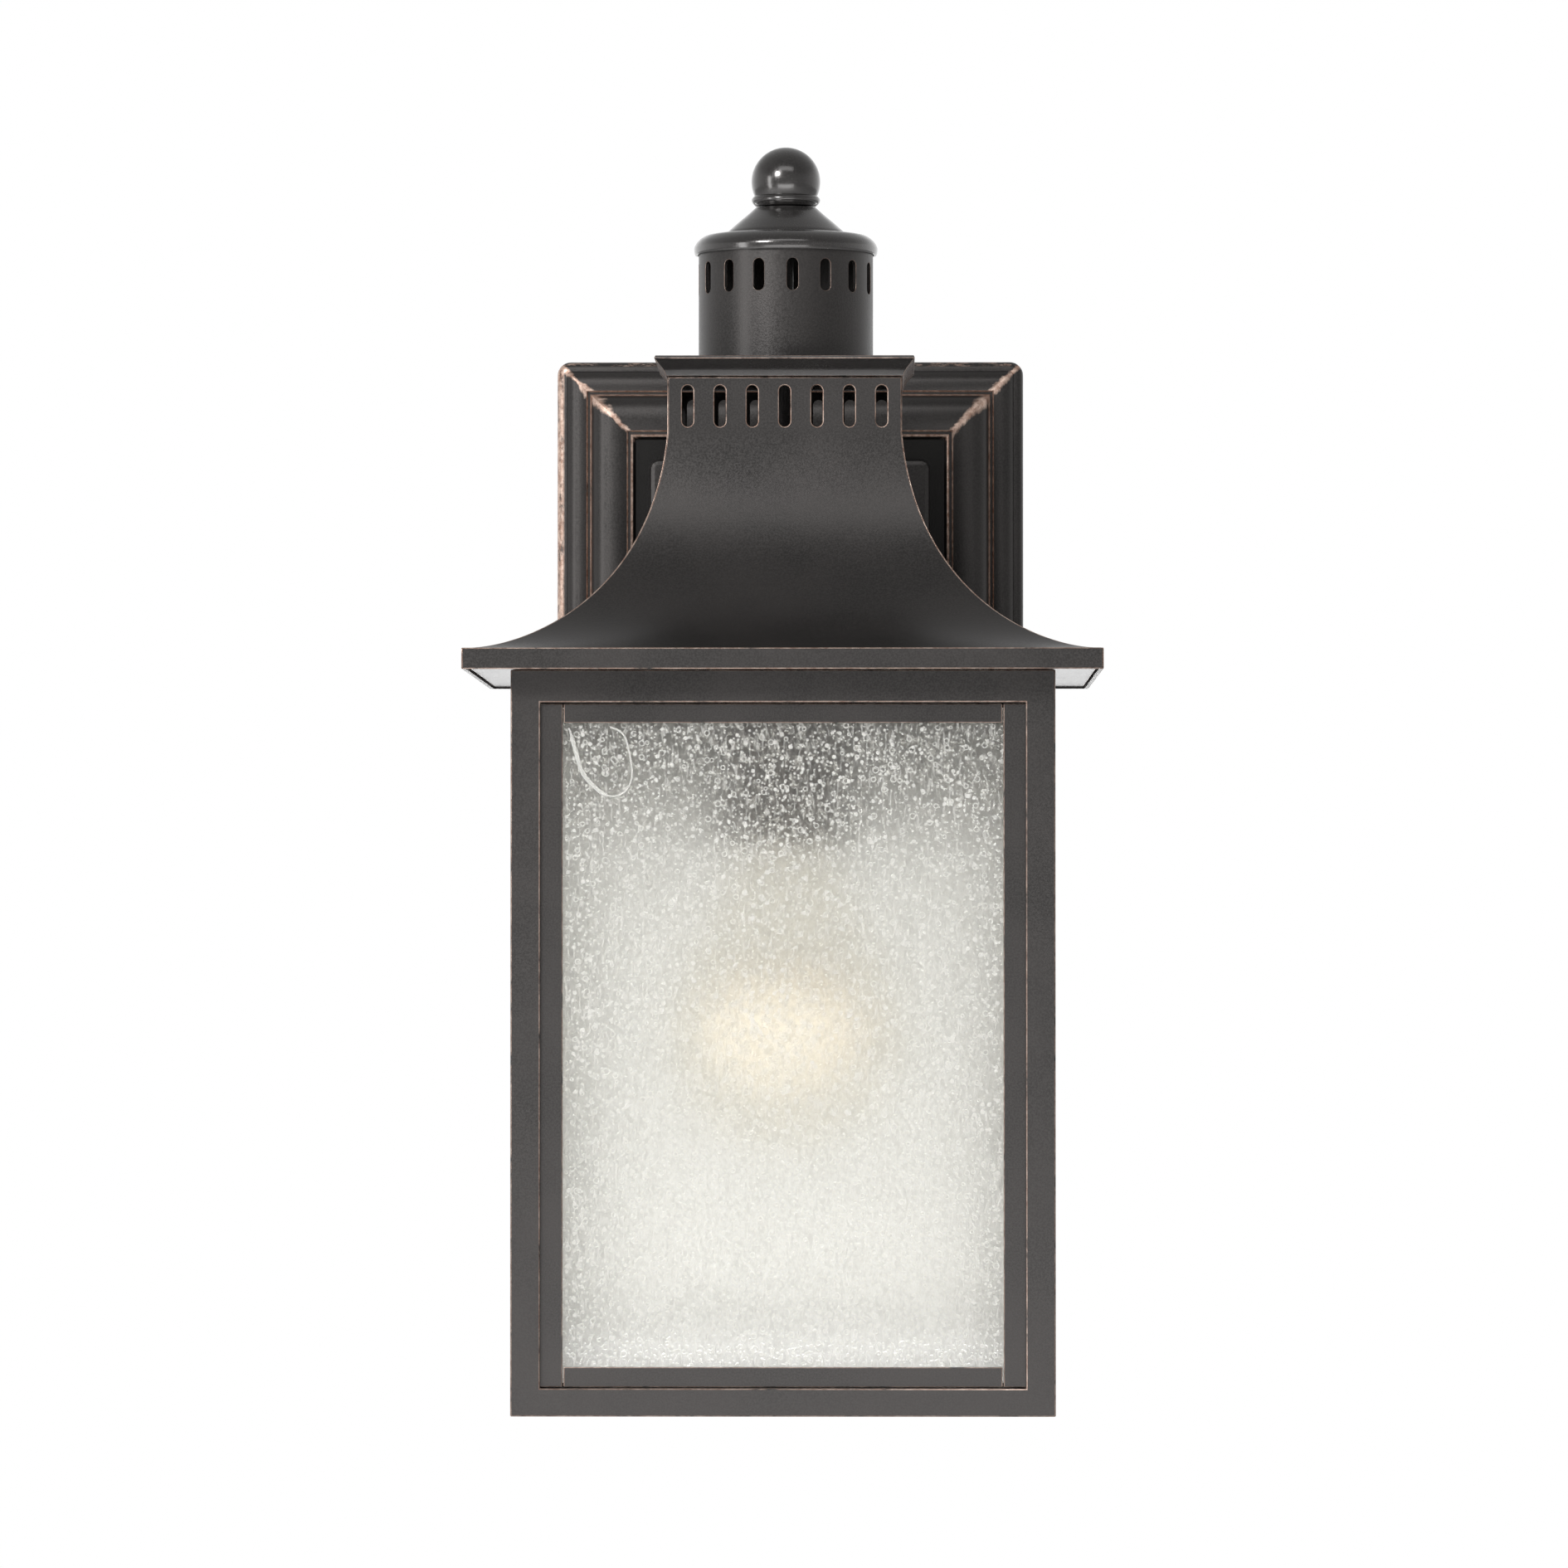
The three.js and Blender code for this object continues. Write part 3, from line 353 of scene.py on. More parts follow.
def lamp_glass():
    """The lamp's inside-frosted envelope: partly clear, so that the lit core shows through it."""
    graph = Graph("lamp_glass_frosted")
    grain = graph.noise(900, 2, 0.5)
    frost = graph.principled(
        Base_Color=graph.mix(grain, (0.90, 0.88, 0.83, 1), (0.95, 0.93, 0.89, 1)),
        Roughness=0.3,
        Transmission_Weight=0.5,
        Emission_Color=(1.0, 0.90, 0.70, 1),
        Emission_Strength=0.08,
    )
    clear = graph.add("ShaderNodeBsdfTransparent")
    clear.inputs["Color"].default_value = (0.985, 0.978, 0.96, 1)
    both = graph.add("ShaderNodeMixShader")
    graph.plug(both.inputs[0], graph.ramp(grain, 0.3, 0.7, 0.05, 0.09))
    graph.plug(both.inputs[1], clear.outputs[0])
    graph.plug(both.inputs[2], frost)
    return graph.finish(both.outputs[0])


def lamp_core():
    """The warm light inside the lamp, fading towards its ends."""
    graph = Graph("lamp_core_lit")
    low, high, _ = size_of("bulb_glass")
    off = graph.math("ABSOLUTE", graph.math("SUBTRACT", axis_value(graph, 2), low.z + GLOBE_R + CORE_RISE))
    glow = graph.ramp(off, 0, CORE_HALF_HEIGHT, 1, 0.55)
    return graph.finish(graph.principled(
        Base_Color=graph.mix(graph.noise(300, 2), (0.9, 0.86, 0.76, 1), (0.95, 0.92, 0.84, 1)),
        Roughness=0.6,
        Emission_Color=(1.0, 0.89, 0.76, 1),
        Emission_Strength=graph.math("MULTIPLY", glow, 0.64),
    ))


def metal(name, colour, other, roughness, brushed=(1, 1, 1)):
    graph = Graph(name)
    cloud = graph.noise(90, 4, 0.6)
    lines = graph.noise(1800, 3, 0.6, brushed)
    return graph.finish(graph.principled(
        Base_Color=graph.mix(graph.ramp(cloud, 0.3, 0.7), colour, other),
        Metallic=0.95,
        Roughness=graph.math("ADD", graph.ramp(lines, 0.3, 0.7, -0.06, 0.06), roughness),
        Normal=graph.bump(lines, 0.1, 0.0001),
    ))


def plastic(name, colour, other, roughness):
    graph = Graph(name)
    grain = graph.noise(1500, 3, 0.6)
    return graph.finish(graph.principled(
        Base_Color=graph.mix(graph.ramp(graph.noise(80, 3), 0.3, 0.7), colour, other),
        Roughness=graph.math("ADD", graph.ramp(grain, 0.3, 0.7, -0.05, 0.05), roughness),
        Normal=graph.bump(grain, 0.12, 0.0001),
    ))


def clear_sealant():
    graph = Graph("clear_sealant")
    return graph.finish(graph.principled(
        Base_Color=graph.mix(graph.noise(700, 2), (0.80, 0.80, 0.76, 1), (0.93, 0.93, 0.90, 1)),
        Roughness=0.25,
        IOR=1.4,
        Transmission_Weight=0.6,
    ))


BRONZE = bronze("oil_rubbed_bronze")
PAN = bronze("oil_rubbed_bronze_smooth", 0.22)
TURNED = bronze("oil_rubbed_bronze_turned", 0.13, 0.9)
EDGE_HIP = bronze_edge("bronze_arris_hip", 0.95, 0.65)
INSIDE = bronze("oil_rubbed_bronze_inside", -0.25)
EDGE_GROOVE = bronze_edge("bronze_arris_groove", 1.1, 0.9)
EDGE_FINE = bronze_edge("bronze_arris_fine", 0.85, 0.4)
PLATE = bronze_plate()
GLASS = seeded_glass()
LAMP_GLASS = lamp_glass()
LAMP_CORE = lamp_core()
ZINC = metal("zinc_plated_steel", (0.46, 0.46, 0.45, 1), (0.60, 0.60, 0.58, 1), 0.34, (1, 1, 0.1))
BRASS = metal("lamp_brass", (0.58, 0.40, 0.16, 1), (0.68, 0.50, 0.24, 1), 0.3)
BARE_COPPER = metal("bare_copper", (0.60, 0.26, 0.14, 1), (0.70, 0.34, 0.20, 1), 0.32)
PORCELAIN = plastic("glazed_porcelain", (0.055, 0.044, 0.038, 1), (0.075, 0.060, 0.052, 1), 0.25)
SEALANT = clear_sealant()
BLACK_SLEEVE = plastic("black_insulation", (0.014, 0.014, 0.014, 1), (0.022, 0.022, 0.022, 1), 0.5)
WHITE_SLEEVE = plastic("white_insulation", (0.72, 0.71, 0.67, 1), (0.80, 0.79, 0.75, 1), 0.5)
CONNECTOR = plastic("connector_plastic", (0.62, 0.16, 0.03, 1), (0.70, 0.20, 0.05, 1), 0.38)


# ---------------------------------------------------------------- mesh helpers

def shade(mesh, degrees=32):
    mesh.shade_smooth()
    mesh.set_sharp_from_angle(angle=math.radians(degrees))


def piece(name, vertices, faces, materials, face_slots=None):
    mesh = bpy.data.meshes.new(name)
    mesh.from_pydata([tuple(v) for v in vertices], [], faces)
    for material in materials:
        mesh.materials.append(material)
    if face_slots:
        for polygon, slot in zip(mesh.polygons, face_slots):
            polygon.material_index = slot
    tidy = bmesh.new()
    tidy.from_mesh(mesh)
    bmesh.ops.remove_doubles(tidy, verts=tidy.verts, dist=1e-7)
    bmesh.ops.recalc_face_normals(tidy, faces=tidy.faces)
    tidy.to_mesh(mesh)
    tidy.free()
    obj = bpy.data.objects.new(name, mesh)
    bpy.context.scene.collection.objects.link(obj)
    return obj


def turned(points, segments, centre=(0, 0, 0)):
    """Vertices and faces of a ring or solid turned about the upright line through centre."""
    vertices = []
    for radius, height in points:
        for i in range(segments):
            a = 2 * math.pi * i / segments
            across, along = radius * math.cos(a), radius * math.sin(a)
            vertices.append((centre[0] + across, centre[1] + along, centre[2] + height))
    faces = []
    loops = len(points)
    closed = points[0][0] > 0 or points[-1][0] > 0
    for k in range(loops if closed else loops - 1):
        n = (k + 1) % loops
        for i in range(segments):
            j = (i + 1) % segments
            quad = [k * segments + i, k * segments + j, n * segments + j, n * segments + i]
            faces.append(quad)
    return vertices, faces


def bevel(obj, width, segments=2, material=-1, degrees=28):
    modifier = obj.modifiers.new("bevel", "BEVEL")
    modifier.width = width
    modifier.segments = segments
    modifier.limit_method = "ANGLE"
    modifier.angle_limit = math.radians(degrees)
    modifier.material = material
    modifier.harden_normals = False
    return modifier


def apply_modifiers(obj):
    depsgraph = bpy.context.evaluated_depsgraph_get()
    mesh = bpy.data.meshes.new_from_object(obj.evaluated_get(depsgraph))
    obj.modifiers.clear()
    obj.data = mesh
    return obj


def carve(obj, cutters):
    """Cuts the cutters out of obj, for good."""
    for cutter in cutters:
        modifier = obj.modifiers.new("cut", "BOOLEAN")
        modifier.operation = "DIFFERENCE"
        modifier.solver = "EXACT"
        modifier.object = cutter
    apply_modifiers(obj)
    for cutter in cutters:
        bpy.data.objects.remove(cutter)
    return obj


def slot_cutter(name, width, height, depth_from, depth_to, steps=10):
    """An upright slot with round ends, as a solid that runs towards -Y."""
    radius = width / 2
    reach = height / 2 - radius
    outline = []
    for end, start in ((1, 0), (-1, math.pi)):
        for i in range(steps + 1):
            a = start + math.pi * i / steps
            outline.append((radius * math.cos(a), end * reach + radius * math.sin(a)))
    count = len(outline)
    vertices = [(x, -depth_from, z) for x, z in outline] + [(x, -depth_to, z) for x, z in outline]
    faces = [[i, (i + 1) % count, count + (i + 1) % count, count + i] for i in range(count)]
    faces += [list(range(count)), list(range(count, 2 * count))]
    return piece(name, vertices, faces, [])


def put(obj, body, slot, *nodes):
    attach(obj, body)
    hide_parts(*nodes)
    return obj


def paint_node(name, *materials, bevel_width=0.0, segments=2):
    """A CAD node that is shown as it is, with rounded arrises."""
    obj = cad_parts[name]
    obj.data.materials.clear()
    for material in materials:
        obj.data.materials.append(material)
    weld = obj.modifiers.new("weld", "WELD")
    weld.merge_threshold = 1e-6
    if bevel_width:
        bevel(obj, bevel_width, segments, 1 if len(materials) > 1 else -1)
    return obj


# ---------------------------------------------------------------- roof

def bezier(points, t):
    a, b, c, d = points
    return a * (1 - t) ** 3 + b * (3 * t * (1 - t) ** 2) + c * (3 * t * t * (1 - t)) + d * t ** 3


def bezier_slope(points, t):
    a, b, c, d = points
    return (b - a) * (3 * (1 - t) ** 2) + (c - b) * (6 * t * (1 - t)) + (d - c) * (3 * t * t)


def weigh_outer_edges(mesh, outer):
    """Marks for bevelling the sharp edges whose two ends lie on the sheet's outer face."""
    tidy = bmesh.new()
    tidy.from_mesh(mesh)
    weight = tidy.edges.layers.float.new("bevel_weight_edge")
    spans = list(zip(outer, outer[1:]))

    def on_face(vertex):
        point = Vector((-vertex.co.y, vertex.co.z))
        for start, end in spans:
            along = end - start
            t = min(max((point - start).dot(along) / along.length_squared, 0), 1)
            if (start + along * t - point).length < 0.04 * MM:
                return True
        return False

    for edge in tidy.edges:
        if len(edge.link_faces) == 2 and edge.calc_face_angle() > math.radians(28):
            if all(on_face(vertex) for vertex in edge.verts):
                edge[weight] = 1.0
    tidy.to_mesh(mesh)
    tidy.free()


def roof_panel(side, turn):
    """One of the four roof sheets: the neck, the flare and the short fascia, mitred at both hips."""
    steps = 56
    outer = [Vector((NECK_HALF, NECK_TOP))]
    inner = [Vector((NECK_HALF - SHEET, NECK_TOP))]
    for i in range(steps + 1):
        t = i / steps
        point = bezier(ROOF_CURVE, t)
        slope = bezier_slope(ROOF_CURVE, t).normalized()
        outer.append(point)
        if i < steps:
            inner.append(point + Vector((slope.y, -slope.x)) * SHEET)
    inner.append(Vector((ROOF_HALF - SHEET, EAVE_TOP - SHEET)))
    outer.append(Vector((ROOF_HALF, EAVE_BOTTOM)))
    inner.append(Vector((ROOF_HALF - SHEET, EAVE_BOTTOM)))
    mitre = 0.12 * MM
    vertices = []
    for line in (outer, inner):
        for point in line:
            vertices.append((-(point.x - mitre), -point.x, point.y))
            vertices.append((point.x - mitre, -point.x, point.y))
    count = len(outer)
    faces, slots = [], []
    for k in range(count - 1):
        a, b = 2 * k, 2 * k + 2
        c, d = a + 2 * count, b + 2 * count
        faces += [[a, b, b + 1, a + 1], [c, c + 1, d + 1, d], [a, c, d, b], [a + 1, b + 1, d + 1, c + 1]]
        slots += [0, 2, 0, 0]
    last = 2 * count - 2
    faces += [[0, 1, 2 * count + 1, 2 * count], [last, last + 1, last + 2 * count + 1, last + 2 * count]]
    slots += [0, 0]
    obj = piece(f"roof_sheet_{side}", vertices, faces, [BRONZE, EDGE_HIP, INSIDE], slots)
    cutters = []
    for i in range(NECK_SLOTS):
        cutter = slot_cutter("cutter", NECK_SLOT_WIDTH, NECK_SLOT_HEIGHT,
                             NECK_HALF - CUTTER_REACH, NECK_HALF + CUTTER_REACH)
        across = (i - (NECK_SLOTS - 1) / 2) * NECK_SLOT_PITCH
        cutter.data.transform(Matrix.Translation((across, 0, NECK_SLOT_Z)))
        cutters.append(cutter)
    if side == "rear":
        nipple = slot_cutter("cutter", NIPPLE_HOLE, NIPPLE_HOLE, NECK_HALF - CUTTER_REACH, 50 * MM, 16)
        nipple.data.transform(Matrix.Translation((0, 0, NIPPLE_Z)))
        cutters.append(nipple)
    carve(obj, cutters)
    bevel(obj, 0.24 * MM, 2, 1).limit_method = "WEIGHT"
    weigh_outer_edges(obj.data, outer)
    obj.data.transform(Matrix.Translation((0, AXIS_Y, 0)) @ Matrix.Rotation(turn * math.pi / 2, 4, "Z"))
    shade(obj.data)
    return put(obj, BODY, "bronze", f"roof_panel_{side}")


for index, side in enumerate(SIDES):
    roof_panel(side, index)
paint_node("roof_pan", PAN, EDGE_FINE, bevel_width=0.25 * MM)


# ---------------------------------------------------------------- neck cap, chimney, cap and finial

def neck_cap():
    low, high, _ = size_of("neck_cap")
    half = (high.x - low.x) / 2
    hole = 19.1 * MM
    rows = [
        (30.3 * MM, low.z),
        (30.55 * MM, low.z + 0.9 * MM),
        (31.2 * MM, low.z + 2.0 * MM),
        (32.05 * MM, low.z + 3.1 * MM),
        (32.7 * MM, low.z + 3.9 * MM),
        (half, low.z + 4.4 * MM),
        (half - 0.3 * MM, high.z),
    ]
    steps = 16
    ring = []
    for corner in range(4):
        for i in range(steps):
            a = math.pi / 4 + (corner + i / steps) * math.pi / 2
            reach = 1 / max(abs(math.cos(a)), abs(math.sin(a)))
            ring.append((math.cos(a), math.sin(a), reach))
    count = len(ring)
    vertices = []
    for size, z in rows:
        vertices += [(c * r * size, AXIS_Y + s * r * size, z) for c, s, r in ring]
    for z in (high.z, low.z):
        vertices += [(c * hole, AXIS_Y + s * hole, z) for c, s, _ in ring]
    loops = len(rows) + 2
    faces = []
    for k in range(loops):
        n = (k + 1) % loops
        for i in range(count):
            j = (i + 1) % count
            faces.append([k * count + i, k * count + j, n * count + j, n * count + i])
    obj = piece("neck_cap_flared", vertices, faces, [TURNED, EDGE_FINE])
    shade(obj.data)
    bevel(obj, 0.14 * MM, 2, 1, 50)
    return put(obj, BODY, "bronze", "neck_cap")


def chimney():
    low, high, _ = size_of("chimney")
    radius = (high.x - low.x) / 2
    wall = 1 * MM
    profile = [(radius, low.z), (radius, high.z), (radius - wall, high.z), (radius - wall, low.z)]
    obj = piece("chimney_tube", *turned(profile, 128), [BRONZE, EDGE_FINE])
    cutters = []
    for i in range(CHIMNEY_SLOTS):
        cutter = slot_cutter("cutter", CHIMNEY_SLOT_WIDTH, CHIMNEY_SLOT_HEIGHT,
                             radius - CUTTER_REACH, radius + CUTTER_REACH)
        turn = Matrix.Rotation(CHIMNEY_SLOT_TURN + 2 * math.pi * i / CHIMNEY_SLOTS, 4, "Z")
        cutter.data.transform(turn @ Matrix.Translation((0, 0, CHIMNEY_SLOT_Z)))
        cutters.append(cutter)
    carve(obj, cutters)
    obj.data.transform(Matrix.Translation((0, AXIS_Y, 0)))
    shade(obj.data)
    bevel(obj, 0.2 * MM, 2, 1, 40)
    return put(obj, BODY, "bronze", "chimney")


def catmull_rom(a, b, c, d, t):
    square = (2 * a - 5 * b + 4 * c - d) * t * t
    return 0.5 * (2 * b + (c - a) * t + square + (3 * b - a - 3 * c + d) * t ** 3)


def smooth_line(points, per_span=6):
    """A Catmull-Rom line through points."""
    line = []
    for k in range(len(points) - 1):
        before = points[max(k - 1, 0)]
        start, end = points[k], points[k + 1]
        after = points[min(k + 2, len(points) - 1)]
        for i in range(per_span):
            t = i / per_span
            line.append(tuple(catmull_rom(*values, t) for values in zip(before, start, end, after)))
    line.append(tuple(points[-1]))
    return line


def chimney_cap():
    low, high, _ = size_of("chimney_cap")
    rim = (high.x - low.x) / 2
    hole = 2.6 * MM
    cone = [
        (7.9 * MM, high.z),
        (9.9 * MM, high.z - 1.8 * MM),
        (12.3 * MM, high.z - 3.8 * MM),
        (15 * MM, high.z - 6.2 * MM),
    ]
    shoulder = smooth_line([
        (15.2 * MM, high.z - 6.5 * MM),
        (17.6 * MM, high.z - 7 * MM),
        (20.6 * MM, high.z - 7.3 * MM),
        (22.6 * MM, high.z - 8.6 * MM),
        (rim, high.z - 10.2 * MM),
        (rim, low.z + 0.6 * MM),
        (rim - 0.2 * MM, low.z),
    ], 4)
    inside = [(22.8 * MM, low.z), (22.8 * MM, low.z + 1.9 * MM), (20.4 * MM, low.z + 3.3 * MM),
              (14.4 * MM, low.z + 4.4 * MM), (11.4 * MM, low.z + 7.2 * MM), (7.2 * MM, high.z - 1.4 * MM),
              (hole, high.z - 1.4 * MM)]
    profile = [(hole, high.z)] + smooth_line(cone, 4) + shoulder + inside
    obj = piece("chimney_cap_domed", *turned(profile, 96, (0, AXIS_Y, 0)), [TURNED])
    shade(obj.data, 40)
    return put(obj, BODY, "bronze", "chimney_cap")


def finial():
    low, high, _ = size_of("finial")
    ball = 8.9 * MM
    centre = high.z - ball
    bottom = low.z
    bore = 2.3 * MM
    bore_top = DATUM + 128.5 * MM
    collar = smooth_line([(7.7 * MM, bottom), (8.4 * MM, bottom + 0.7 * MM), (8.8 * MM, bottom + 1.4 * MM),
                          (8.8 * MM, bottom + 2 * MM), (8.45 * MM, bottom + 2.5 * MM)], 4)
    start = -math.asin((centre - bottom - 2.8 * MM) / ball)
    steps = 40
    arc = []
    for i in range(steps + 1):
        a = start + (math.pi / 2 - start) * i / steps
        arc.append((ball * math.cos(a) if i < steps else 0.0, centre + ball * math.sin(a)))
    profile = [(0.0, bore_top), (bore, bore_top), (bore, bottom)] + collar + arc
    obj = piece("finial_ball", *turned(profile, 72, (0, AXIS_Y, 0)), [TURNED])
    shade(obj.data, 50)
    return put(obj, FINIAL, "bronze", "finial")


neck_cap()
chimney()
chimney_cap()
finial()
paint_node("finial_rod", BRONZE, bevel_width=0.15 * MM)
for name in ("neck_strap", "rod_nut", "holder_nipple", "holder_locknut"):
    paint_node(name, ZINC, bevel_width=0.15 * MM)


# ---------------------------------------------------------------- cage

def cage():
    """The welded outer frame of the cage: top and bottom frames and corner posts in one skin."""
    low, high, centre = size_of("cage_bottom_frame")
    half = (high.x - low.x) / 2
    bottom, bottom_rail = low.z, high.z
    top_low, top_high, _ = size_of("cage_top_frame")
    top_rail, top = top_low.z, top_high.z
    window = half - 7.4 * MM
    wall = 1.3 * MM
    sheet = 1.2 * MM
    lip_bottom, lip_top = 57 * MM, 60 * MM
    vertices, faces = [], []

    def on_face(along, depth, z):
        """A point on the front face, depth in from it."""
        return (along, -(half - depth), z)

    for side in range(4):
        turn = Matrix.Translation((0, centre.y, 0)) @ Matrix.Rotation(side * math.pi / 2, 4, "Z")
        rows = []
        for depth in (0, wall):
            edge = half - depth
            outer = [(-edge, bottom), (edge, bottom), (edge, top), (-edge, top)]
            inner = [(-window, bottom_rail), (window, bottom_rail), (window, top_rail), (-window, top_rail)]
            if depth:
                outer = [(a, z + sheet if z == bottom else z - sheet) for a, z in outer]
            rows += [[on_face(a, depth, z) for a, z in outer], [on_face(a, depth, z) for a, z in inner]]
        for z0, z1, reach in ((bottom, bottom + sheet, lip_bottom), (top, top - sheet, lip_top)):
            ends = ((-reach, z0), (reach, z0), (reach, z1), (-reach, z1))
            rows.append([(along, -reach, z) for along, z in ends])
        base = len(vertices)
        for row in rows:
            vertices += [turn @ Vector(v) for v in row]
        out, win, back, back_win, foot, head = (list(range(base + 4 * k, base + 4 * k + 4)) for k in range(6))
        for i in range(4):
            j = (i + 1) % 4
            faces.append([out[i], out[j], win[j], win[i]])
            faces.append([back[i], back_win[i], back_win[j], back[j]])
            faces.append([win[i], win[j], back_win[j], back_win[i]])
        faces += [
            [out[0], foot[0], foot[1], out[1]],
            [foot[0], foot[3], foot[2], foot[1]],
            [foot[3], back[0], back[1], foot[2]],
            [out[3], out[2], head[1], head[0]],
            [head[0], head[1], head[2], head[3]],
            [head[3], head[2], back[2], back[3]],
        ]
    nodes = ["cage_top_frame", "cage_bottom_frame"]
    nodes += [f"corner_post_{corner_name}" for corner_name in CORNERS]
    obj = piece("cage_frame", vertices, faces, [BRONZE, EDGE_FINE])
    shade(obj.data)
    bevel(obj, 0.32 * MM, 2, 1)
    return put(obj, BODY, "bronze", *nodes)


cage()
for corner_name in CORNERS:
    paint_node(f"glazing_channel_{corner_name}", BRONZE, EDGE_FINE, bevel_width=0.22 * MM)
for side in SIDES:
    paint_node(f"glazing_bar_top_{side}", BRONZE, EDGE_FINE, bevel_width=0.22 * MM)
    paint_node(f"glazing_bar_bottom_{side}", BRONZE, EDGE_FINE, bevel_width=0.22 * MM)
    paint_node(f"glass_{side}", GLASS, bevel_width=0.3 * MM)


def sealant_loop():
    """The thin bead of clear sealant that shows on the front pane's upper left corner."""
    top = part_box("glazing_bar_top_front")[0].z
    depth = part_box("glass_front")[0].y - 0.32 * MM
    points = smooth_line([
        (-53.6, -1.2), (-52.0, -6.8), (-50.2, -12.5), (-46.2, -16.9), (-42.8, -18.4),
        (-39.6, -17.2), (-37.9, -13.6), (-38.3, -8.6), (-39.9, -3.0), (-43.4, -0.9),
    ])
    sides = 8
    vertices, faces = [], []
    for k, (x, z) in enumerate(points):
        before, after = points[max(k - 1, 0)], points[min(k + 1, len(points) - 1)]
        across = Vector((before[1] - after[1], after[0] - before[0])).normalized()
        radius = SEALANT_R * (1.9 if 2 < k < 22 else 1.0) * (0.5 if k in (0, len(points) - 1) else 1.0)
        for i in range(sides):
            a = 2 * math.pi * i / sides
            vertices.append((x * MM + across.x * radius * math.cos(a), depth + SEALANT_R * math.sin(a),
                             top + z * MM + across.y * radius * math.cos(a)))
    for k in range(len(points) - 1):
        for i in range(sides):
            j = (i + 1) % sides
            faces.append([k * sides + i, k * sides + j, (k + 1) * sides + j, (k + 1) * sides + i])
    last = (len(points) - 1) * sides
    faces += [list(range(sides)), list(range(last, last + sides))]
    obj = piece("sealant_bead", vertices, faces, [SEALANT])
    shade(obj.data, 60)
    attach(obj, BODY)
    return obj


sealant_loop()


# ---------------------------------------------------------------- lamp holder and lamp

def lamp():
    low, high, _ = size_of("bulb_glass")
    radius = (high.x - low.x) / 2
    centre = low.z + radius
    neck = 12.8 * MM
    curve = [
        Vector((neck, high.z)),
        Vector((neck + 0.5 * MM, high.z - 22.7 * MM)),
        Vector((radius, high.z - 28.7 * MM)),
        Vector((radius, centre)),
    ]
    profile = [tuple(bezier(curve, i / 24)) for i in range(24)]
    for i in range(25):
        a = math.pi / 2 * i / 24
        profile.append((radius * math.cos(a) if i < 24 else 0.0, centre - radius * math.sin(a)))
    inside = [(max(r - 1 * MM, 0.0), z + (1 * MM if r < 20 * MM and z < centre else 0)) for r, z in profile]
    inside[-1] = (0.0, profile[-1][1] + 1 * MM)
    obj = piece("lamp_envelope", *turned(list(reversed(profile)) + inside, 64, (0, AXIS_Y, 0)), [LAMP_GLASS])
    shade(obj.data, 50)
    put(obj, LAMP, "opal_glass", "bulb_glass")
    core = []
    for i in range(25):
        a = math.pi * (i / 24 - 0.5)
        height = centre + CORE_RISE + CORE_HALF_HEIGHT * math.sin(a)
        core.append((CORE_R * math.cos(a) if 0 < i < 24 else 0.0, height))
    obj = piece("lamp_core", *turned(core, 48, (0, AXIS_Y, 0)), [LAMP_CORE])
    shade(obj.data, 50)
    return put(obj, LAMP, "opal_glass")


lamp()
paint_node("bulb_base", BRASS, bevel_width=0.2 * MM)
paint_node("bulb_tip", ZINC, bevel_width=0.2 * MM)
paint_node("holder_body", PORCELAIN, bevel_width=0.4 * MM)
paint_node("screw_shell", BRASS)
paint_node("centre_contact", BRASS, bevel_width=0.2 * MM)


# ---------------------------------------------------------------- wall plate

def quadratic(a, b, c, steps):
    points = []
    for i in range(1, steps + 1):
        t = i / steps
        points.append(tuple(
            p * (1 - t) ** 2 + 2 * q * t * (1 - t) + r * t * t for p, q, r in zip(a, b, c)))
    return points


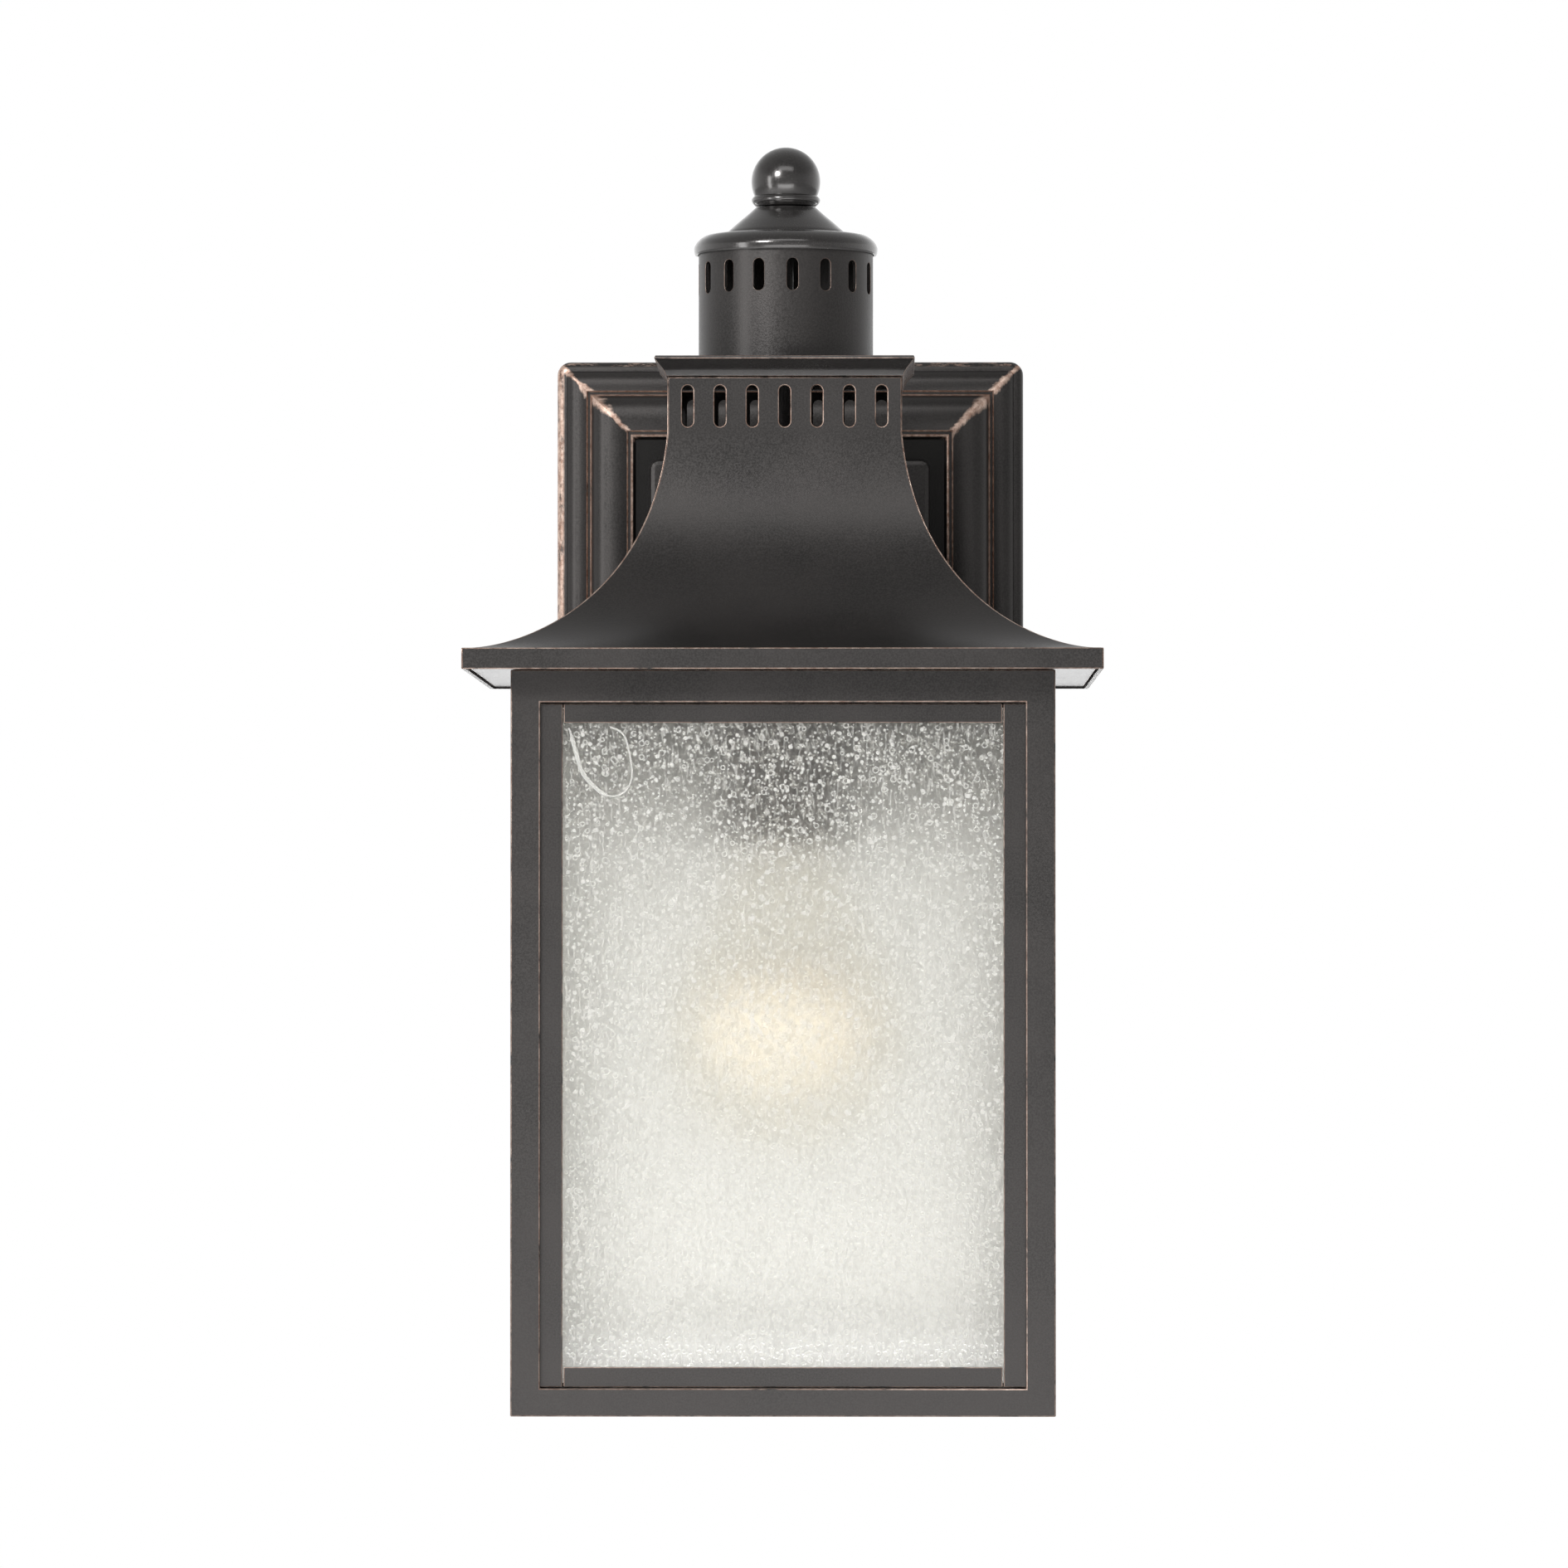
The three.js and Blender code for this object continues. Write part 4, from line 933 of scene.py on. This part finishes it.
def wall_plate():
    """The moulded plate.

    Its section is a list of distance in from the edge and distance from the wall, in mm, and material slot.
    """
    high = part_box("wall_plate")[1]
    half_x, half_z = high.x, high.z
    section = [(0, 0, 2), (0, 5.6, 0)]
    section += [(u, h, 0) for u, h in quadratic((0, 5.6), (0, 8.4), (2.6, 8.4), 8)]
    section += [(u, h, 0) for u, h in quadratic((2.6, 8.4), (4.2, 11.4), (8, 10.8), 14)]
    section += [(8.15, 10.6, 1), (8.35, 10.05, 1), (8.95, 10.0, 2), (9.15, 10.9, 1), (9.4, 11.5, 1)]
    section += [(u, h, 0) for u, h in quadratic((9.4, 11.5), (11, 17.2), (19, 15.8), 20)]
    section += [(19.2, 15.55, 1), (19.4, 15.05, 1), (20.1, 15.0, 2)]
    section += [(20.35, 15.25, 1), (20.7, 15.1, 1), (21.4, 13.6, 0)]
    hollow = [(20, 12.1, 2), (18, 13.8, 2), (11.5, 13, 2), (9.6, 9, 2), (4.4, 8, 2), (2, 6, 2), (2, 0, 2)]
    rows = hollow + section
    vertices, slots = [], []
    steps = 8
    count = 4 * (steps + 1)
    for inset, out, _ in rows:
        radius = max(3.6 - inset, 0.12) * MM
        for k, (sx, sz) in enumerate(((1, 1), (-1, 1), (-1, -1), (1, -1))):
            for i in range(steps + 1):
                a = (k + i / steps) * math.pi / 2
                x = sx * (half_x - inset * MM - radius) + radius * math.cos(a)
                z = sz * (half_z - inset * MM - radius) + radius * math.sin(a)
                vertices.append((x, -out * MM, z))
    faces = []
    for k in range(len(rows) - 1):
        for i in range(count):
            j = (i + 1) % count
            faces.append([k * count + i, k * count + j, (k + 1) * count + j, (k + 1) * count + i])
            slots.append(rows[k + 1][2])
    faces.append(list(range(count)))
    faces.append(list(range((len(rows) - 1) * count, len(rows) * count)))
    slots += [2, 0]
    obj = piece("wall_plate_moulded", vertices, faces, [PLATE, EDGE_GROOVE, INSIDE], slots)
    shade(obj.data, 24)
    return put(obj, BODY, "bronze", "wall_plate")


wall_plate()
paint_node("centre_panel", BRONZE)
paint_node("arm", BRONZE, bevel_width=0.6 * MM, segments=3)
for place in ("upper", "lower"):
    paint_node(f"cap_nut_{place}", BRONZE, bevel_width=0.25 * MM)
    paint_node(f"stud_{place}", ZINC, bevel_width=0.15 * MM)
    paint_node(f"arm_screw_{place}", ZINC, bevel_width=0.15 * MM)
for name in ("crossbar", "arm_nipple", "nipple_nut"):
    paint_node(name, ZINC, bevel_width=0.2 * MM)
paint_node("earth_screw", BRASS, bevel_width=0.15 * MM)
paint_node("lead_line", BLACK_SLEEVE)
paint_node("lead_neutral", WHITE_SLEEVE)
paint_node("lead_earth", BARE_COPPER)
for name in ("line", "neutral"):
    paint_node(f"wire_connector_{name}", CONNECTOR, bevel_width=0.25 * MM)


# ---------------------------------------------------------------- camera, light, floor

CAMERA_TARGET = Vector((0.4 * MM, -196 * MM, -55.1 * MM))
CAMERA_PLACE = Vector((24.7 * MM, -2395 * MM, -100.5 * MM))
CAMERA_LENS = 202.9
CAMERA_SENSOR = 36
CAMERA_FAR = 50
FLOOR_REACH = 4
FLOOR_Z = -0.57


def camera():
    data = bpy.data.cameras.new("camera")
    data.lens = CAMERA_LENS
    data.sensor_width = CAMERA_SENSOR
    data.clip_end = CAMERA_FAR
    obj = bpy.data.objects.new("camera", data)
    obj.location = CAMERA_PLACE
    obj.rotation_euler = (CAMERA_TARGET - CAMERA_PLACE).to_track_quat("-Z", "Y").to_euler()
    bpy.context.scene.collection.objects.link(obj)
    bpy.context.scene.camera = obj


def soft_light(name, place, target, size, power, colour=(1, 1, 1)):
    data = bpy.data.lights.new(name, "AREA")
    data.shape = "RECTANGLE"
    data.size, data.size_y = size
    data.energy = power
    data.color = colour
    obj = bpy.data.objects.new(name, data)
    obj.location = place
    obj.rotation_euler = (Vector(target) - Vector(place)).to_track_quat("-Z", "Y").to_euler()
    bpy.context.scene.collection.objects.link(obj)


# The world is white level with the lantern and behind it, and dimmer overhead and in front.
SKY_LEVEL = 0.5
FRONT_LEVEL = 0.45


def studio():
    world = bpy.data.worlds.new("studio")
    world.use_nodes = True
    nodes, links = world.node_tree.nodes, world.node_tree.links
    split = nodes.new("ShaderNodeSeparateXYZ")
    links.new(nodes.new("ShaderNodeTexCoord").outputs["Generated"], split.inputs[0])
    fade = nodes.new("ShaderNodeMapRange")
    fade.interpolation_type = "SMOOTHSTEP"
    for key, number in (("From Min", 0.14), ("From Max", 0.55), ("To Min", 1.0), ("To Max", SKY_LEVEL)):
        fade.inputs[key].default_value = number
    links.new(split.outputs["Z"], fade.inputs["Value"])
    background = nodes["Background"]
    background.inputs["Color"].default_value = (1, 1, 1, 1)
    front = nodes.new("ShaderNodeMapRange")
    for key, number in (("From Min", -0.5), ("From Max", 0.6), ("To Min", FRONT_LEVEL), ("To Max", 1.0)):
        front.inputs[key].default_value = number
    links.new(split.outputs["Y"], front.inputs["Value"])
    both = nodes.new("ShaderNodeMath")
    both.operation = "MULTIPLY"
    links.new(fade.outputs[0], both.inputs[0])
    links.new(front.outputs[0], both.inputs[1])
    links.new(both.outputs[0], background.inputs["Strength"])
    bpy.context.scene.world = world
    middle = (0, AXIS_Y, -0.05)
    soft_light("key", (-0.75, -1.5, 0.75), middle, (0.36, 0.36), 20)
    soft_light("side", (-1.3, -1.0, 0.0), middle, (0.3, 1.0), 5)
    soft_light("low_front", (0.0, -1.6, -0.5), (0, AXIS_Y, -0.15), (1.6, 0.5), 9)
    soft_light("high_front", (0.0, -1.6, 1.4), middle, (1.6, 0.5), 5)
    soft_light("rear_low", (0.0, 1.5, -0.5), (0, AXIS_Y, -0.12), (1.8, 0.12), 5)
    floor_mesh = bpy.data.meshes.new("floor")
    corners = [(x * FLOOR_REACH, y * FLOOR_REACH, FLOOR_Z) for x, y in ((-1, -1), (1, -1), (1, 1), (-1, 1))]
    floor_mesh.from_pydata(corners, [], [(0, 1, 2, 3)])
    graph = Graph("pale_floor")
    tint = graph.noise(3, 2)
    floor_mesh.materials.append(graph.finish(graph.principled(
        Base_Color=graph.mix(tint, (0.93, 0.93, 0.93, 1), (0.95, 0.95, 0.95, 1)),
        Roughness=0.9,
    )))
    floor = bpy.data.objects.new("floor", floor_mesh)
    bpy.context.scene.collection.objects.link(floor)
    bpy.context.scene.view_settings.view_transform = "Standard"


camera()
studio()
